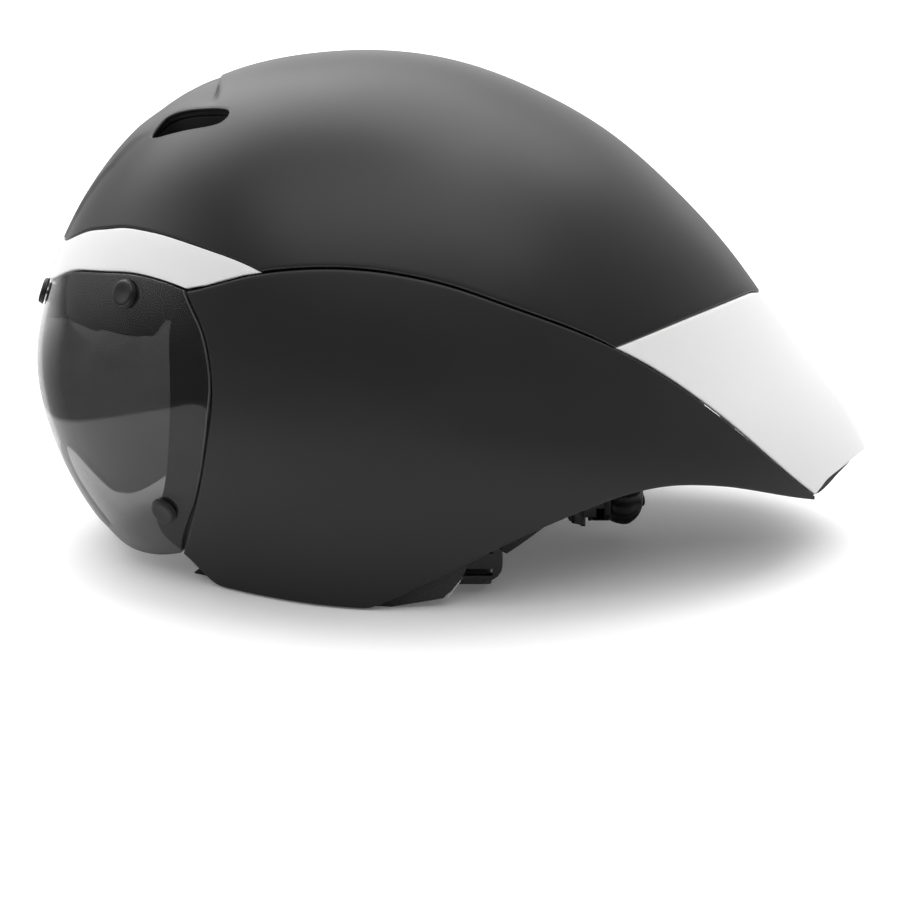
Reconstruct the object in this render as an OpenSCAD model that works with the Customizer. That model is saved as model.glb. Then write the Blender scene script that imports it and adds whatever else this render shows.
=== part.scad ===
// Aero helmet for time trials: long tail, side panels over the ears and a magnetic visor.
// The front looks towards -X, the tail points to +X, the wearer's left is -Y and +Z is up.
// The floor is Z = 0. The origin lies under the middle of the helmet's length.

/* [Shell] */
// Half of the width at the ears
half_width = 104; // [101:1:107]
// Height of the widest point of the side above the floor
side_z = 85; // [83:1:87]
// How far the widest point of the side lies ahead of the middle
side_x = 25; // [23:1:27]
// Wall of the crown, the brow band and the tail
skin = 3; // [2.4:0.1:3.1]
// Wall of the side panels
panel_wall = 3.4; // [3.3:0.1:3.8]
// Open seam between the crown and a side panel
seam_gap = 0.8; // [0.5:0.1:1.2]
// Joint between the dark and the white shells
paint_gap = 0.4; // [0.3:0.1:0.6]
// Wall of the cover under the tail
cover_wall = 2.5; // [2:0.1:3]
// Outlet slots in the cover under the tail
outlet_count = 3; // [2:1:4]
// Width of an outlet slot
outlet_w = 7; // [5:0.5:8]

/* [Front vents] */
// Length of a front vent, seen from above
vent_l = 37; // [34:1:40]
// Greatest width of a front vent
vent_w = 13; // [11:0.5:13.5]
// Turn of a vent, its rear end away from the middle line, in degrees
vent_turn = 26; // [20:1:30]
// Wall of the duct under a vent
duct_wall = 1.4; // [1:0.1:1.8]
// Height of the lower rim of the ducts above the floor
duct_z = 170; // [166:1:174]

/* [Visor] */
// Wall of the lens
lens_wall = 2.2; // [1.8:0.1:2.3]
// Space between the lens and the rail behind it
lens_gap = 0.9; // [0.8:0.1:1.1]
// Open joint between the edge of the lens and the shells
edge_gap = 0.9; // [0.6:0.1:1.2]
// Thickness of the rail and of the flanges that carry the lens
rail_wall = 3; // [2.4:0.1:3.2]
// How far the rail reaches down behind the lens
rail_drop = 15; // [14:0.5:17]
// Radius of a magnet button
button_r = 6; // [5.4:0.1:6.6]
// Height of a magnet button above the lens
button_h = 2.8; // [2.4:0.1:3.6]
// Radius of a magnet
magnet_r = 4; // [3.4:0.1:4.4]
// How far a magnet stands out behind the lens
magnet_reach = 0.5; // [0.3:0.05:0.6]
// Radius of a steel seat
seat_r = 5; // [4.4:0.1:5.4]
// Thickness of a steel seat
seat_h = 1.5; // [1.2:0.1:1.6]
// Radius of the soft edging on the nose notch
guard_r = 1.4; // [1.3:0.1:1.8]

/* [Head space] */
// Length of the head space
head_l = 204; // [198:1:208]
// Width of the head space
head_w = 160; // [156:1:164]
// Height of the dome of the head space over its widest level
head_dome = 78; // [74:1:80]
// Height of the widest level of the head above the floor
head_level = 110; // [106:1:112]
// How far the middle of the head lies ahead of the middle of the helmet
head_ahead = 34; // [31:1:36]
// Thickness of the comfort pads
pad_h = 7; // [6:0.5:8]
// Joint between the foam and the comfort pads, which the hook dots bridge
pad_gap = 0.9; // [0.8:0.05:1.1]
// Radius of a hook dot
dot_r = 7; // [6:0.5:8]
// Thickness of the ear pads
ear_pad_h = 10; // [8:0.5:12]

/* [Fit cradle] */
// Height of the dial's axis above the floor
dial_z = 20; // [19:0.5:22]
// Radius of the dial
dial_r = 16.5; // [14:0.5:18]
// Thickness of the dial
dial_h = 14; // [12:0.5:15]
// Teeth of the pinion, an even number
pinion_teeth = 8; // [8:2:12]
// Tooth module of the pinion and the racks
tooth_module = 0.8; // [0.8:0.1:1.1]
// Height of the bar of a rack behind its teeth
rack_back = 3; // [2.6:0.1:3.6]
// Width of the rack housing
housing_w = 44; // [40:1:48]
// Wall of the rack housing
housing_wall = 1.6; // [1.4:0.1:2.2]
// Height of the band of the cradle
band_w = 12; // [10:0.5:13]
// Thickness of the band of the cradle
band_t = 2; // [1.6:0.1:2.4]
// Radius of a temple pin
pin_r = 3; // [2.5:0.1:3.4]
// Greatest height of a nape wing
wing_h = 16; // [14:0.5:17]
// How far a wing is drawn in
wing_travel = 10; // [8:0.5:10]

/* [Straps] */
// Width of the webbing
strap_w = 15; // [13:0.5:16]
// Thickness of the webbing
strap_t = 1.4; // [1.2:0.1:1.8]
// Thickness of a strap divider
divider_t = 4; // [3.5:0.1:5]
// Width of the buckle
buckle_w = 26; // [24:0.5:28]
// Height of the buckle
buckle_h = 9.5; // [9:0.25:10.5]
// Wall of the loop that keeps the free strap
keeper_wall = 1; // [0.8:0.1:1.4]

/* [Hidden] */

// Clearance of parts that lie against each other
fit = 0.3;
// Radial clearance of a turning shaft
running = 0.06;
// Depth of the foam's outer face under the shells
foam_inset = panel_wall + fit;
// Depth of the face that the lens closes on
seat_inset = lens_wall + lens_gap;

charcoal = "#333436";
black = "#18191a";
white = "#ececec";

// Side outline of the shell: control radii every 15 degrees, from the tail over the top
outline = [172, 153, 139, 133, 128, 128, 129, 132, 139, 144, 146.5, 148,
    156, 153, 150, 142, 150, 170, 185, 195, 205, 220, 235, 226];
// Fullness of the sections every 45 degrees: 0.5 is an ellipse and more is leaner
fullness = [0.62, 0.56, 0.5, 0.5, 0.5, 0.5, 0.45, 0.58];

// Side-view curves, as [x, z] in millimetres
seam = [[-107.5, 134.8], [-76, 145], [-44, 148], [-12, 144], [20, 133], [68, 110], [112, 77], [156, 34]];
seam_brow = 1 / 7;
seam_tail = 5 / 7;
panel_front = [[-107.5, 134.8], [-99.5, 117], [-97, 95], [-100, 72], [-105, 46], [-113, 15]];
panel_bottom = [[-113, 15], [-92, -2.5], [-44, -3], [-4, 16.5], [38, 38], [78, 51], [113, 48], [156, 32]];
flange_front = [[-114, 119], [-116, 100], [-117, 80], [-119, 60],
    [-125, 48], [-127, 38], [-121, 24], [-114, 16]];
lens_top = [[-157, 129.8], [-144, 134], [-130, 136.8], [-118, 136.6]];
lens_bottom = [[-142, 6], [-128, 8.5]];
brow_top = [[-148, 148], [-134, 153], [-122, 154], [-100, 151.5]];
tail_front = [[128, 114], [100, 115]];
cover_line = [[100, 57], [113, 54], [131, 46.5], [144, 39.5], [156, 35.2], [168, 40], [177, 42]];
// Angles at which the edges cross the ridge
ridge_lens = 168.2;
ridge_brow = 160.7;
ridge_tail = 9;
ridge_end = -12.8;
tail_end = [[-12.3, 0.91], [-12.5, 0.81], [-13.7, 0.71]];
// The nose notch, as [angle, depth]
notch = [[197, 1], [200, 0.93], [206, 0.895], [211, 0.87]];

// Places of the visor's magnets, as [x, z] on the side and an angle on the ridge
magnet_ridge = 170.3;
magnet_upper = [-133, 129];
magnet_lower = [-119, 38];

// Curves, surfaces and solids
function mix(a, b, t) = a + (b - a) * t;
function spline(list, angle) =
    let (n = len(list), t = ((angle % 360) + 360) % 360 / (360 / n), i = floor(t), s = t - i,
        p = [for (k = [-1:2]) list[(i + k + n) % n]])
    (pow(1 - s, 3) * p[0] + (3 * s * s * s - 6 * s * s + 4) * p[1]
        + (-3 * s * s * s + 3 * s * s + 3 * s + 1) * p[2] + s * s * s * p[3]) / 6;
// A smooth curve through the points of a list, for s from 0 to 1
function curve(p, s) =
    let (n = len(p) - 1, t = min(max(s, 0), 1) * n, i = min(floor(t), n - 1), f = t - i,
        b = p[i], c = p[i + 1], a = i > 0 ? p[i - 1] : 2 * b - c, d = i + 2 <= n ? p[i + 2] : 2 * c - b)
    0.5 * (2 * b + (c - a) * f + (2 * a - 5 * b + 4 * c - d) * f * f + (3 * b - a - 3 * c + d) * f * f * f);
// The same from an edge's crossing of the ridge, which it passes square to the ridge
function from_ridge(p, n = 16) =
    [for (k = [0:n]) let (s = k / n * (len(p) - 1))
        s < 1 ? curve([opposite(p[1]), p[0], p[1], p[2]], (1 + s) / 3) : curve(p, k / n)];
function part(p, from, to, n = 6) = [for (k = [0:n]) curve(p, mix(from, to, k / n))];
// The hull: angle round the ear, depth 0 at the ear, 1 on the ridge and 2 at the other ear
function hull_point(at, inset) =
    let (q = at[1] > 1 ? 2 - at[1] : at[1], side = at[1] > 1 ? 1 : -1, rho = sin(90 * q),
        r = rho * (spline(outline, at[0]) - inset),
        y = side * (half_width - inset) * pow(max(0, 1 - rho * rho), spline(fullness, at[0])))
    [r * cos(at[0]) - side_x, y, r * sin(at[0]) + side_z];
// Half of the width of the hull, or of its inset face, at a side-view point
function hull_y(p, inset) =
    let (a = at(p)[0], rho = norm([p[0] + side_x, p[1] - side_z]) / (spline(outline, a) - inset))
    (half_width - inset) * pow(max(0, 1 - rho * rho), spline(fullness, a));
// Angle and depth of a side-view point
function at(p) =
    let (dx = p[0] + side_x, dz = p[1] - side_z, raw = atan2(dz, dx), a = raw < -90 ? raw + 360 : raw,
        rho = min(1, norm([dx, dz]) / spline(outline, a)))
    [a, asin(rho) / 90];
function all_at(list) = [for (p = list) at(p)];
function shifted(list, dx, dz) = [for (p = list) p + [dx, dz]];
function opposite(p) = [p[0], 2 - p[1]];
// A patch between four edge curves that share their corners
function patch(top, bottom, start, end, u, v) =
    mix(curve(top, u), curve(bottom, u), v) + mix(curve(start, v), curve(end, v), u)
    - mix(mix(curve(top, 0), curve(top, 1), u), mix(curve(bottom, 0), curve(bottom, 1), u), v);
function normal_at(p) =
    let (c = hull_point(p, 0), out = c - hull_point(p, 5),
        n = cross(hull_point(p + [1, 0], 0) - c, hull_point(p + [0, 0.01], 0) - c))
    n * out > 0 ? n / norm(n) : -n / norm(n);

// A closed wall between two equal grids of points
module wall(outer, inner) {
    n = len(outer);
    m = len(outer[0]);
    last = n * m;
    mid = [floor(n / 2), floor(m / 2)];
    o = outer[mid[0] - 1][mid[1] - 1];
    square_to = cross(outer[mid[0] - 1][mid[1]] - o, outer[mid[0]][mid[1] - 1] - o);
    turned = square_to * (o - inner[mid[0] - 1][mid[1] - 1]) > 0;
    edge = concat([for (j = [0:m - 2]) [j, j + 1]], [for (i = [0:n - 2]) [i * m + m - 1, i * m + 2 * m - 1]],
        [for (j = [m - 1:-1:1]) [(n - 1) * m + j, (n - 1) * m + j - 1]],
        [for (i = [n - 1:-1:1]) [i * m, i * m - m]]);
    cells = [for (i = [0:n - 2]) for (j = [0:m - 2]) let (a = i * m + j) [a, a + 1, a + m + 1, a + m]];
    faces = concat([for (c = cells) [c[0], c[1], c[2]]], [for (c = cells) [c[0], c[2], c[3]]],
        [for (c = cells) [c[0] + last, c[2] + last, c[1] + last]],
        [for (c = cells) [c[0] + last, c[3] + last, c[2] + last]],
        [for (e = edge) [e[0], e[0] + last, e[1] + last]], [for (e = edge) [e[0], e[1] + last, e[1]]]);
    points = concat([for (row = outer) for (p = row) p], [for (row = inner) for (p = row) p]);
    polyhedron(points, turned ? [for (f = faces) [f[0], f[2], f[1]]] : faces);
}
// A wall on the hull between two depths under its surface
module skin_wall(grid, outer, inner)
    wall([for (row = grid) [for (p = row) hull_point(p, outer)]],
        [for (row = grid) [for (p = row) hull_point(p, inner)]]);
// The grid of a patch that runs from the ridge down both sides; v is 0 on the ridge
function both_sides(top, bottom, start, end, n, m) =
    [for (i = [0:n]) [for (k = [-m:m])
        let (p = patch(top, bottom, start, end, i / n, abs(k) / m)) k > 0 ? opposite(p) : p]];
// Places children on the hull with +Z along its outward normal
module on_hull(p, inset = 0, heading = 0) {
    n = normal_at(p);
    translate(hull_point(p, inset)) rotate([0, acos(n[2]), atan2(n[1], n[0])])
        rotate([0, 0, heading - atan2(n[1], n[0])]) children();
}
module on_both() {
    children();
    mirror([0, 1, 0]) children();
}
// The closed body inside the hull, as rings from one ear to the other
module hull_body(inset, n = 48, m = 18) {
    points = concat([hull_point([0, 0], inset)],
        [for (j = [1:m - 1]) for (i = [0:n - 1]) hull_point([360 * i / n, 2 * j / m], inset)],
        [hull_point([0, 2], inset)]);
    last = 1 + n * (m - 1);
    polyhedron(points, concat([for (i = [0:n - 1]) [0, 1 + (i + 1) % n, 1 + i]],
        [for (j = [0:m - 3]) for (i = [0:n - 1])
            let (a = 1 + j * n + i, b = 1 + j * n + (i + 1) % n) [a, b, a + n]],
        [for (j = [0:m - 3]) for (i = [0:n - 1])
            let (a = 1 + j * n + i, b = 1 + j * n + (i + 1) % n) [b, b + n, a + n]],
        [for (i = [0:n - 1]) [last, 1 + (m - 2) * n + i, 1 + (m - 2) * n + (i + 1) % n]]));
}

// Edges of the shells as angle and depth
function lens_top_edge(rise, ahead = 0) = from_ridge(concat([[ridge_lens - rise / 2.6, 1]],
    all_at(shifted(lens_top, -ahead, rise)), [at(panel_front[0] + [-ahead, rise])]));
function brow_top_edge(rise) = from_ridge(concat([[ridge_brow - rise / 2.6, 1]],
    all_at(shifted(brow_top, 0, rise)), [at(curve(seam, seam_brow) + [0, rise])]));
function tail_front_edge(back) = from_ridge(concat([[ridge_tail - back / 2.8, 1]],
    all_at(shifted(tail_front, back / 2, -back)), [at(curve(seam, seam_tail) + [back, 0])]));
function end_of(list) = list[len(list) - 1];
function seam_edge(from, to, rise) = all_at(shifted(part(seam, from, to, 8), 0, rise));

module crown_shell() color(charcoal) difference() {
    front = brow_top_edge(paint_gap);
    rear = tail_front_edge(-paint_gap);
    side = concat([end_of(front)],
        seam_edge(mix(seam_brow, seam_tail, 0.1), mix(seam_brow, seam_tail, 0.9), seam_gap / 2),
        [end_of(rear)]);
    skin_wall(both_sides([front[0], rear[0]], side, front, rear, 22, 12), 0, skin);
    vent_holes(0, head_level);
}
module brow_band() color(white) {
    top = brow_top_edge(0);
    bottom = lens_top_edge(edge_gap);
    end = concat([end_of(top)], seam_edge(seam_brow * 0.75, seam_brow * 0.25, seam_gap / 2),
        [end_of(bottom)]);
    // The patch runs down from the brow's top edge to the edge over the lens
    grid = [for (i = [0:4]) [for (k = [-12:12])
        let (p = patch(top, bottom, [top[0], bottom[0]], end, abs(k) / 12, i / 4)) k > 0 ? opposite(p) : p]];
    skin_wall(grid, 0, min(skin, seat_inset - 2 * fit));
}
module tail_fairing() color(white) {
    front = tail_front_edge(0);
    side = concat([end_of(front)], seam_edge(mix(seam_tail, 1, 0.15), 1, seam_gap / 2));
    end = concat([[ridge_end, 1]], tail_end, [end_of(side)]);
    skin_wall(both_sides([front[0], end[0]], side, front, end, 12, 12), 0, skin);
}

// One side panel with the flange that carries the rear edge of the lens
module side_panel() color(charcoal) difference() {
    union() {
        bottom = part(panel_bottom, 0, 1, 28);
        top = shifted(part(seam, 0, 1, 28), 0, -seam_gap / 2);
        start = concat([top[0]], [for (j = [1:5]) panel_front[j]]);
        grid = [for (i = [0:28]) [for (k = [0:9])
            at(patch(top, bottom, start, [top[28], bottom[28]], i / 28, k / 9))]];
        skin_wall(grid, 0, panel_wall);
        back = [for (j = [0:7]) curve(panel_front, mix(0.12, 0.98, j / 7)) + [9, 0]];
        skin_wall([for (i = [0:14]) [for (k = [0:3])
            at(mix(curve(flange_front, i / 14), curve(back, i / 14), k / 3))]],
        seat_inset, seat_inset + rail_wall);
    }
    seat_pockets();
    below_floor();
}
// The space under the surface that the helmet stands on
module below_floor() translate([-150, -150, -40]) cube([300, 300, 40]);
module side_panel_left() side_panel();
module side_panel_right() mirror([0, 1, 0]) side_panel();

// The rail behind the lens, which holds the upper steel seats
module brow_rail() color(black) difference() {
    rail_body(0, 0);
    seat_pockets();
}
module rail_body(grow, spread) {
    top = lens_top_edge(edge_gap + 2 + spread);
    bottom = from_ridge(concat([[ridge_lens + (rail_drop + spread) / 2.6, 1]],
        all_at(shifted(lens_top, 2, -rail_drop - spread)), [at([-114, 137.5 - rail_drop - spread])]));
    grid = [for (i = [0:3]) [for (k = [-12:12])
        let (s = abs(k) / 12 * (0.88 + spread / 60), p = mix(curve(top, s), curve(bottom, s), i / 3))
            k > 0 ? opposite(p) : p]];
    skin_wall(grid, seat_inset - grow, seat_inset + rail_wall + grow);
}

// The five places of the magnets
module at_magnets(inset) {
    on_hull([magnet_ridge, 1], inset) children();
    on_both() on_hull(at(magnet_upper), inset) children();
    on_both() on_hull(at(magnet_lower), inset) children();
}
module seat_pockets() at_magnets(seat_inset) translate([0, 0, -seat_h - fit])
    cylinder(h = seat_h + 3, r = seat_r + fit / 2, $fn = 32);
module steel_seats() color("silver") at_magnets(seat_inset) translate([0, 0, -seat_h - fit / 2])
    cylinder(h = seat_h, r = seat_r, $fn = 32);

// Front vents: full in front, narrower and blunt at the rear, cut straight down
vent_place = [-108, -26];
vent_shares = [[-0.475, -0.12], [-0.44, 0.4], [-0.32, 0.545], [-0.095, 0.445], [0.13, 0.32],
    [0.35, 0.23], [0.49, 0.12], [0.53, -0.12], [0.465, -0.37], [0.31, -0.47], [0.08, -0.475],
    [-0.135, -0.445], [-0.35, -0.355]];
// The outline as a closed curve, with two points to each share
function vent_outline(grow) =
    let (n = len(vent_shares), l = vent_l + 2 * grow, w = vent_w + 2 * grow,
        p = [for (q = vent_shares) [q[0] * l, q[1] * w]])
    [for (i = [0:n - 1]) for (h = [0, 1])
        let (a = p[(i + n - 1) % n], b = p[i], c = p[(i + 1) % n], d = p[(i + 2) % n])
        h == 0 ? b : (9 * (b + c) - a - d) / 16];
module at_vent(z) translate([vent_place[0], vent_place[1], z]) rotate(-vent_turn) children();
module vent_holes(grow, from) on_both() at_vent(from)
    linear_extrude(hull_top - from) polygon(vent_outline(grow));
hull_top = 240;
module vent_duct() color(black) intersection() {
    hull_body(foam_inset);
    at_vent(duct_z) linear_extrude(hull_top - duct_z) difference() {
        polygon(vent_outline(duct_wall));
        polygon(vent_outline(0));
    }
}
module vent_duct_left() vent_duct();
module vent_duct_right() mirror([0, 1, 0]) vent_duct();

// The head space: a dome over straight walls
head_x = -head_ahead;
function head_point(around, up, inset) =
    [head_x + (head_l / 2 - inset) * cos(around) * cos(up), (head_w / 2 - inset) * sin(around) * cos(up),
        head_level + (head_dome - inset) * sin(up)];
// The same dome reached over the top, with its poles at the ears
function dome_point(along, across, inset) =
    [head_x - (head_l / 2 - inset) * cos(along) * cos(across), (head_w / 2 - inset) * sin(across),
        head_level + (head_dome - inset) * sin(along) * cos(across)];
module head_form() {
    n = 36;
    rows = [for (up = [0, 12, 24, 36, 48, 60, 72, 82]) [for (i = [0:n - 1]) head_point(i * 360 / n, up, 0)]];
    low = [for (p = rows[0]) [p[0], p[1], -20]];
    points = concat(low, [for (r = rows) for (p = r) p], [[head_x, 0, head_level + head_dome]]);
    top = len(points) - 1;
    polyhedron(points, concat([[for (i = [0:n - 1]) i]],
        [for (j = [0:7]) for (i = [0:n - 1]) [j * n + i, (j + 1) * n + (i + 1) % n, j * n + (i + 1) % n]],
        [for (j = [0:7]) for (i = [0:n - 1]) [j * n + i, (j + 1) * n + i, (j + 1) * n + (i + 1) % n]],
        [for (i = [0:n - 1]) [8 * n + i, top, 8 * n + (i + 1) % n]]));
}
foam_rear = 100;
foam_level = 66;
module foam_liner() color("#2a2b2d") difference() {
    intersection() {
        hull_body(foam_inset);
        translate([0, 150, 0]) rotate([90, 0, 0]) linear_extrude(300) polygon([[-190, 104], [-122, 112],
            [-111, 127], [-85, 127], [-81, foam_level + 4], [60, foam_level], [foam_rear, foam_level - 4],
            [foam_rear, 230], [-190, 230]]);
    }
    head_form();
    rail_body(fit, fit);
    vent_holes(0, head_level);
    vent_holes(duct_wall + fit, duct_z - fit);
    translate([head_x + head_l / 2 - 20, -exhaust_w / 2, head_level - 25]) cube([60, exhaust_w, 16]);
    on_both() temple() translate([0, 0, -20]) cylinder(h = 40, r = pin_r, $fn = 32);
    anchor_blocks(anchor_fit);
}
// Width of the channel from the head space to the hollow of the tail
exhaust_w = 28;
// Clearance of a strap anchor in its pocket
anchor_fit = 0.15;

// Cover under the tail between the side panels
function cover_edge(p) = p[0] < 158 ? hull_y(p, panel_wall + 3 * fit) : hull_y(p, skin + 3 * fit);
function cover_rows(down) =
    [for (i = [0:16]) let (s = i / 16, p = curve(cover_line, s) - [0, down], w = cover_edge(p))
        [for (k = [-4:4]) [p[0], w * k / 4, p[1] + 2 * (1 - s) * (1 - k * k / 16)]]];
module tail_underside() color(black) difference() {
    wall(cover_rows(0), cover_rows(cover_wall));
    for (i = [0:outlet_count - 1]) translate([112 + i * (outlet_w + 5), -18, 30]) cube([outlet_w, 36, 40]);
}

// Comfort pads: crowned, with drawn-in sides
function crowned(s, t, h) =
    h * (0.35 + 0.65 * pow(max(0, 1 - pow(abs(s), 4)) * max(0, 1 - pow(abs(t), 4)), 0.5));
module brow_pad() color("#202124") {
    s = [for (i = [0:10]) i / 5 - 1];
    t = [for (k = [0:6]) k / 3 - 1];
    wall([for (a = s) [for (b = t) head_point(180 + 40 * a, 8 + 8 * b, pad_gap)]],
        [for (a = s) [for (b = t) head_point(180 + 39 * a, 8 + 7.4 * b, pad_gap + crowned(a, b, pad_h))]]);
}
module crown_pad() color("#202124") {
    s = [for (i = [0:8]) i / 4 - 1];
    t = [for (k = [0:6]) k / 3 - 1];
    wall([for (a = s) [for (b = t) dome_point(92 + 34 * a, 13 * b, pad_gap)]],
        [for (a = s) [for (b = t) dome_point(92 + 33 * a, 12.4 * b, pad_gap + crowned(a, b, pad_h))]]);
}
module side_pad() color("#202124") {
    s = [for (i = [0:8]) i / 4 - 1];
    t = [for (k = [0:6]) k / 3 - 1];
    wall([for (a = s) [for (b = t) head_point(262 + 30 * a, 18 + 10 * b, pad_gap)]],
        [for (a = s) [for (b = t) head_point(262 + 29.2 * a, 18 + 9.4 * b, pad_gap + crowned(a, b, pad_h))]]);
}
module side_pad_left() side_pad();
module side_pad_right() mirror([0, 1, 0]) side_pad();
// Outline of an ear pad, whose lower edge shows under the panel
ear_top = [[-66, 58], [-48, 64], [-20, 63], [0, 54]];
ear_low = [[-70, -4], [-46, -4], [-22, 0.5], [-1, 3]];
ear_front = [[-66, 58], [-74, 28], [-70, -4]];
ear_rear = [[0, 54], [8, 37], [6.5, 17], [-1, 3]];
module ear_pad() color("#202124") difference() {
    s = [for (i = [0:8]) i / 4 - 1];
    t = [for (k = [0:6]) k / 3 - 1];
    rim = [for (a = s) [for (b = t) patch(ear_top, ear_low, ear_front, ear_rear, (a + 1) / 2, (b + 1) / 2)]];
    wall([for (r = rim) [for (p = r) hull_point(at(p), foam_inset)]],
        [for (i = [0:8]) [for (k = [0:6]) let (p = mix(rim[4][3], rim[i][k], 0.97))
            hull_point(at(p), foam_inset + crowned(s[i], t[k], ear_pad_h))]]);
    below_floor();
}
module ear_pad_left() ear_pad();
module ear_pad_right() mirror([0, 1, 0]) ear_pad();
// Hook dots, sunk into the foam and reaching towards the backs of the pads
dot_depth = 0.6;
module pad_hook_dots() color("#4a4b4d") {
    for (a = [-26, 0, 26]) dot(head_point(180 + a, 8, -dot_depth));
    for (a = [68, 92, 116]) dot(dome_point(a, 0, -dot_depth));
    on_both() for (a = [244, 280]) dot(head_point(a, 18, -dot_depth));
}
// A disc square to the dome, reaching inwards from the given place
module dot(place) {
    q = place - [head_x, 0, head_level];
    n = [q[0] / pow(head_l / 2, 2), q[1] / pow(head_w / 2, 2), q[2] / pow(head_dome, 2)];
    translate(place) rotate([0, 180 - acos(n[2] / norm(n)), atan2(n[1], n[0]) + 180])
        cylinder(h = pad_gap + dot_depth - 0.15, r = dot_r, $fn = 24);
}

// Temple pins and the fit cradle
temple_x = -60;
temple_z = 78;
temple_y = head_w / 2 - 6;
module temple() translate([temple_x, -temple_y, temple_z]) rotate([90, 0, 0]) children();
module temple_pins() color(black) on_both() temple() {
    translate([0, 0, -5.5]) cylinder(h = 2.7, r = pin_r + 2, $fn = 32);
    translate([0, 0, -2.9]) cylinder(h = 14.9, r = pin_r, $fn = 32);
}
pitch_r = pinion_teeth * tooth_module / 2;
// Distance from the dial's axis to the back of a rack
rack_edge = pitch_r + 1.1 * tooth_module + rack_back;
rack_t = 4;
housing_h = 2 * (rack_edge + fit + housing_wall);
band_rear = 64;
band_z = dial_z + housing_h / 2 + band_w / 2 + 0.1;
// Middle line of the left arm, from the temple to the nape
arm_line = [[temple_x, -temple_y + 1.3, temple_z], [-20, -temple_y, temple_z - 13],
    [20, -0.885 * temple_y, mix(temple_z, band_z, 0.65)], [49, -0.68 * temple_y, band_z + 3],
    [62, -0.35 * temple_y, band_z + 0.4], [band_rear, 0, band_z]];
module cradle_yoke() color(black) difference() {
    union() {
        line = concat([for (k = [0:24]) curve(arm_line, k / 24)],
            [for (k = [23:-1:0]) let (p = curve(arm_line, k / 24)) [p[0], -p[1], p[2]]]);
        band(line, band_w, band_t);
        on_both() temple() translate([0, 0, -2.6]) cylinder(h = 2.7, r = band_w / 2 + 1.5, $fn = 32);
    }
    on_both() temple() translate([0, 0, -6]) cylinder(h = 12, r = pin_r + running, $fn = 32);
}
// The level direction square to a line at one of its points
function across(line, i) =
    let (d = line[min(i + 1, len(line) - 1)] - line[max(i - 1, 0)]) [d[1], -d[0], 0] / norm([d[0], d[1]]);
// A flat band on its edge along a line
module band(line, height, thick) {
    heights = [for (p = line) height];
    wall(band_side(line, heights, thick / 2), band_side(line, heights, -thick / 2));
}
function band_side(line, heights, out) = [for (i = [0:len(line) - 1])
    let (p = line[i] + out * across(line, i)) [p - [0, 0, heights[i] / 2], p + [0, 0, heights[i] / 2]]];
housing_x = band_rear - 2;
shaft_space = 2.4;
// Cut-off at the corners of the housing
chamfer = 4;
housing_d = rack_t + housing_wall + shaft_space;
// The housing is open towards the head and is closed by the cover
module housing_plate(x, depth) translate([x, 0, dial_z]) rotate([90, 0, 90]) linear_extrude(depth)
    polygon([for (q = [[-1, -1], [1, -1], [1, 1], [-1, 1]]) for (k = [0, 1])
        let (first = (q[0] * q[1] > 0) == (k == 0))
        [q[0] * (housing_w / 2 - (first ? 0 : chamfer)), q[1] * (housing_h / 2 - (first ? chamfer : 0))]]);
module dial_housing() color(black) difference() {
    housing_plate(housing_x, housing_d);
    translate([housing_x - 1, -housing_w / 2 - 1, dial_z - rack_edge - fit])
        cube([rack_t + 2, housing_w + 2, 2 * (rack_edge + fit)]);
    dial_axis(0) cylinder(h = 100, r = shaft_r + running, $fn = 48);
}
shaft_r = 3;
key_w = 0.7 * (pitch_r - 1.1 * tooth_module) * sqrt(2);
module dial_axis(x) translate([x, 0, dial_z]) rotate([0, 90, 0]) children();
module housing_cover() color(black) housing_plate(housing_x - housing_wall, housing_wall);
module nape_pad() color("#202124") {
    back = [for (i = [-4:4]) [for (k = [-3:3]) [housing_x - housing_wall, 3.4 * i, dial_z + 2.4 * k]]];
    wall(back, [for (i = [-4:4]) [for (k = [-3:3])
        back[i + 4][k + 3] - [crowned(i / 4, k / 3, 5), i / 4, k / 3]]]);
}
// The dial tapers towards its end and has grips round its rim
module dial_knob() color(black) {
    dial_axis(housing_x + housing_d + fit) {
        rotate_extrude($fn = 60) polygon([[0, 0], [dial_r - 1.2, 0], [dial_r - 1.2, dial_h * 0.55],
            [dial_r - 3, dial_h * 0.78], [dial_r * 0.6, dial_h], [0, dial_h]]);
        for (a = [0:24:336]) rotate([0, 0, a]) translate([dial_r - 1.6, 0, 0.5])
            cylinder(h = dial_h * 0.5 - 0.5, r = 1.6, $fn = 16);
    }
    dial_axis(housing_x + rack_t + 0.6)
        cylinder(h = housing_d - rack_t - 0.6 + fit + 1, r = shaft_r, $fn = 48);
    dial_axis(housing_x + 0.5) translate([-key_w / 2, -key_w / 2, 0]) cube([key_w, key_w, rack_t + 1]);
}
// A tooth, wider at its root, from the pitch line
tooth_w = PI * tooth_module / 2 - 0.3;
module dial_pinion() color("gray") dial_axis(housing_x + 0.5) linear_extrude(rack_t) difference() {
    union() {
        circle(r = pitch_r - 1.1 * tooth_module, $fn = 48);
        for (k = [0:pinion_teeth - 1]) rotate((k + 0.5) * 360 / pinion_teeth) polygon([
            [pitch_r - 1.6 * tooth_module, -tooth_w * 0.75], [pitch_r, -tooth_w / 2],
            [pitch_r + 0.8 * tooth_module, -tooth_w * 0.22], [pitch_r + 0.8 * tooth_module, tooth_w * 0.22],
            [pitch_r, tooth_w / 2], [pitch_r - 1.6 * tooth_module, tooth_w * 0.75]]);
    }
    square(key_w + 0.2, center = true);
}
rack_end = housing_w / 2 + wing_travel + 5;
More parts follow.
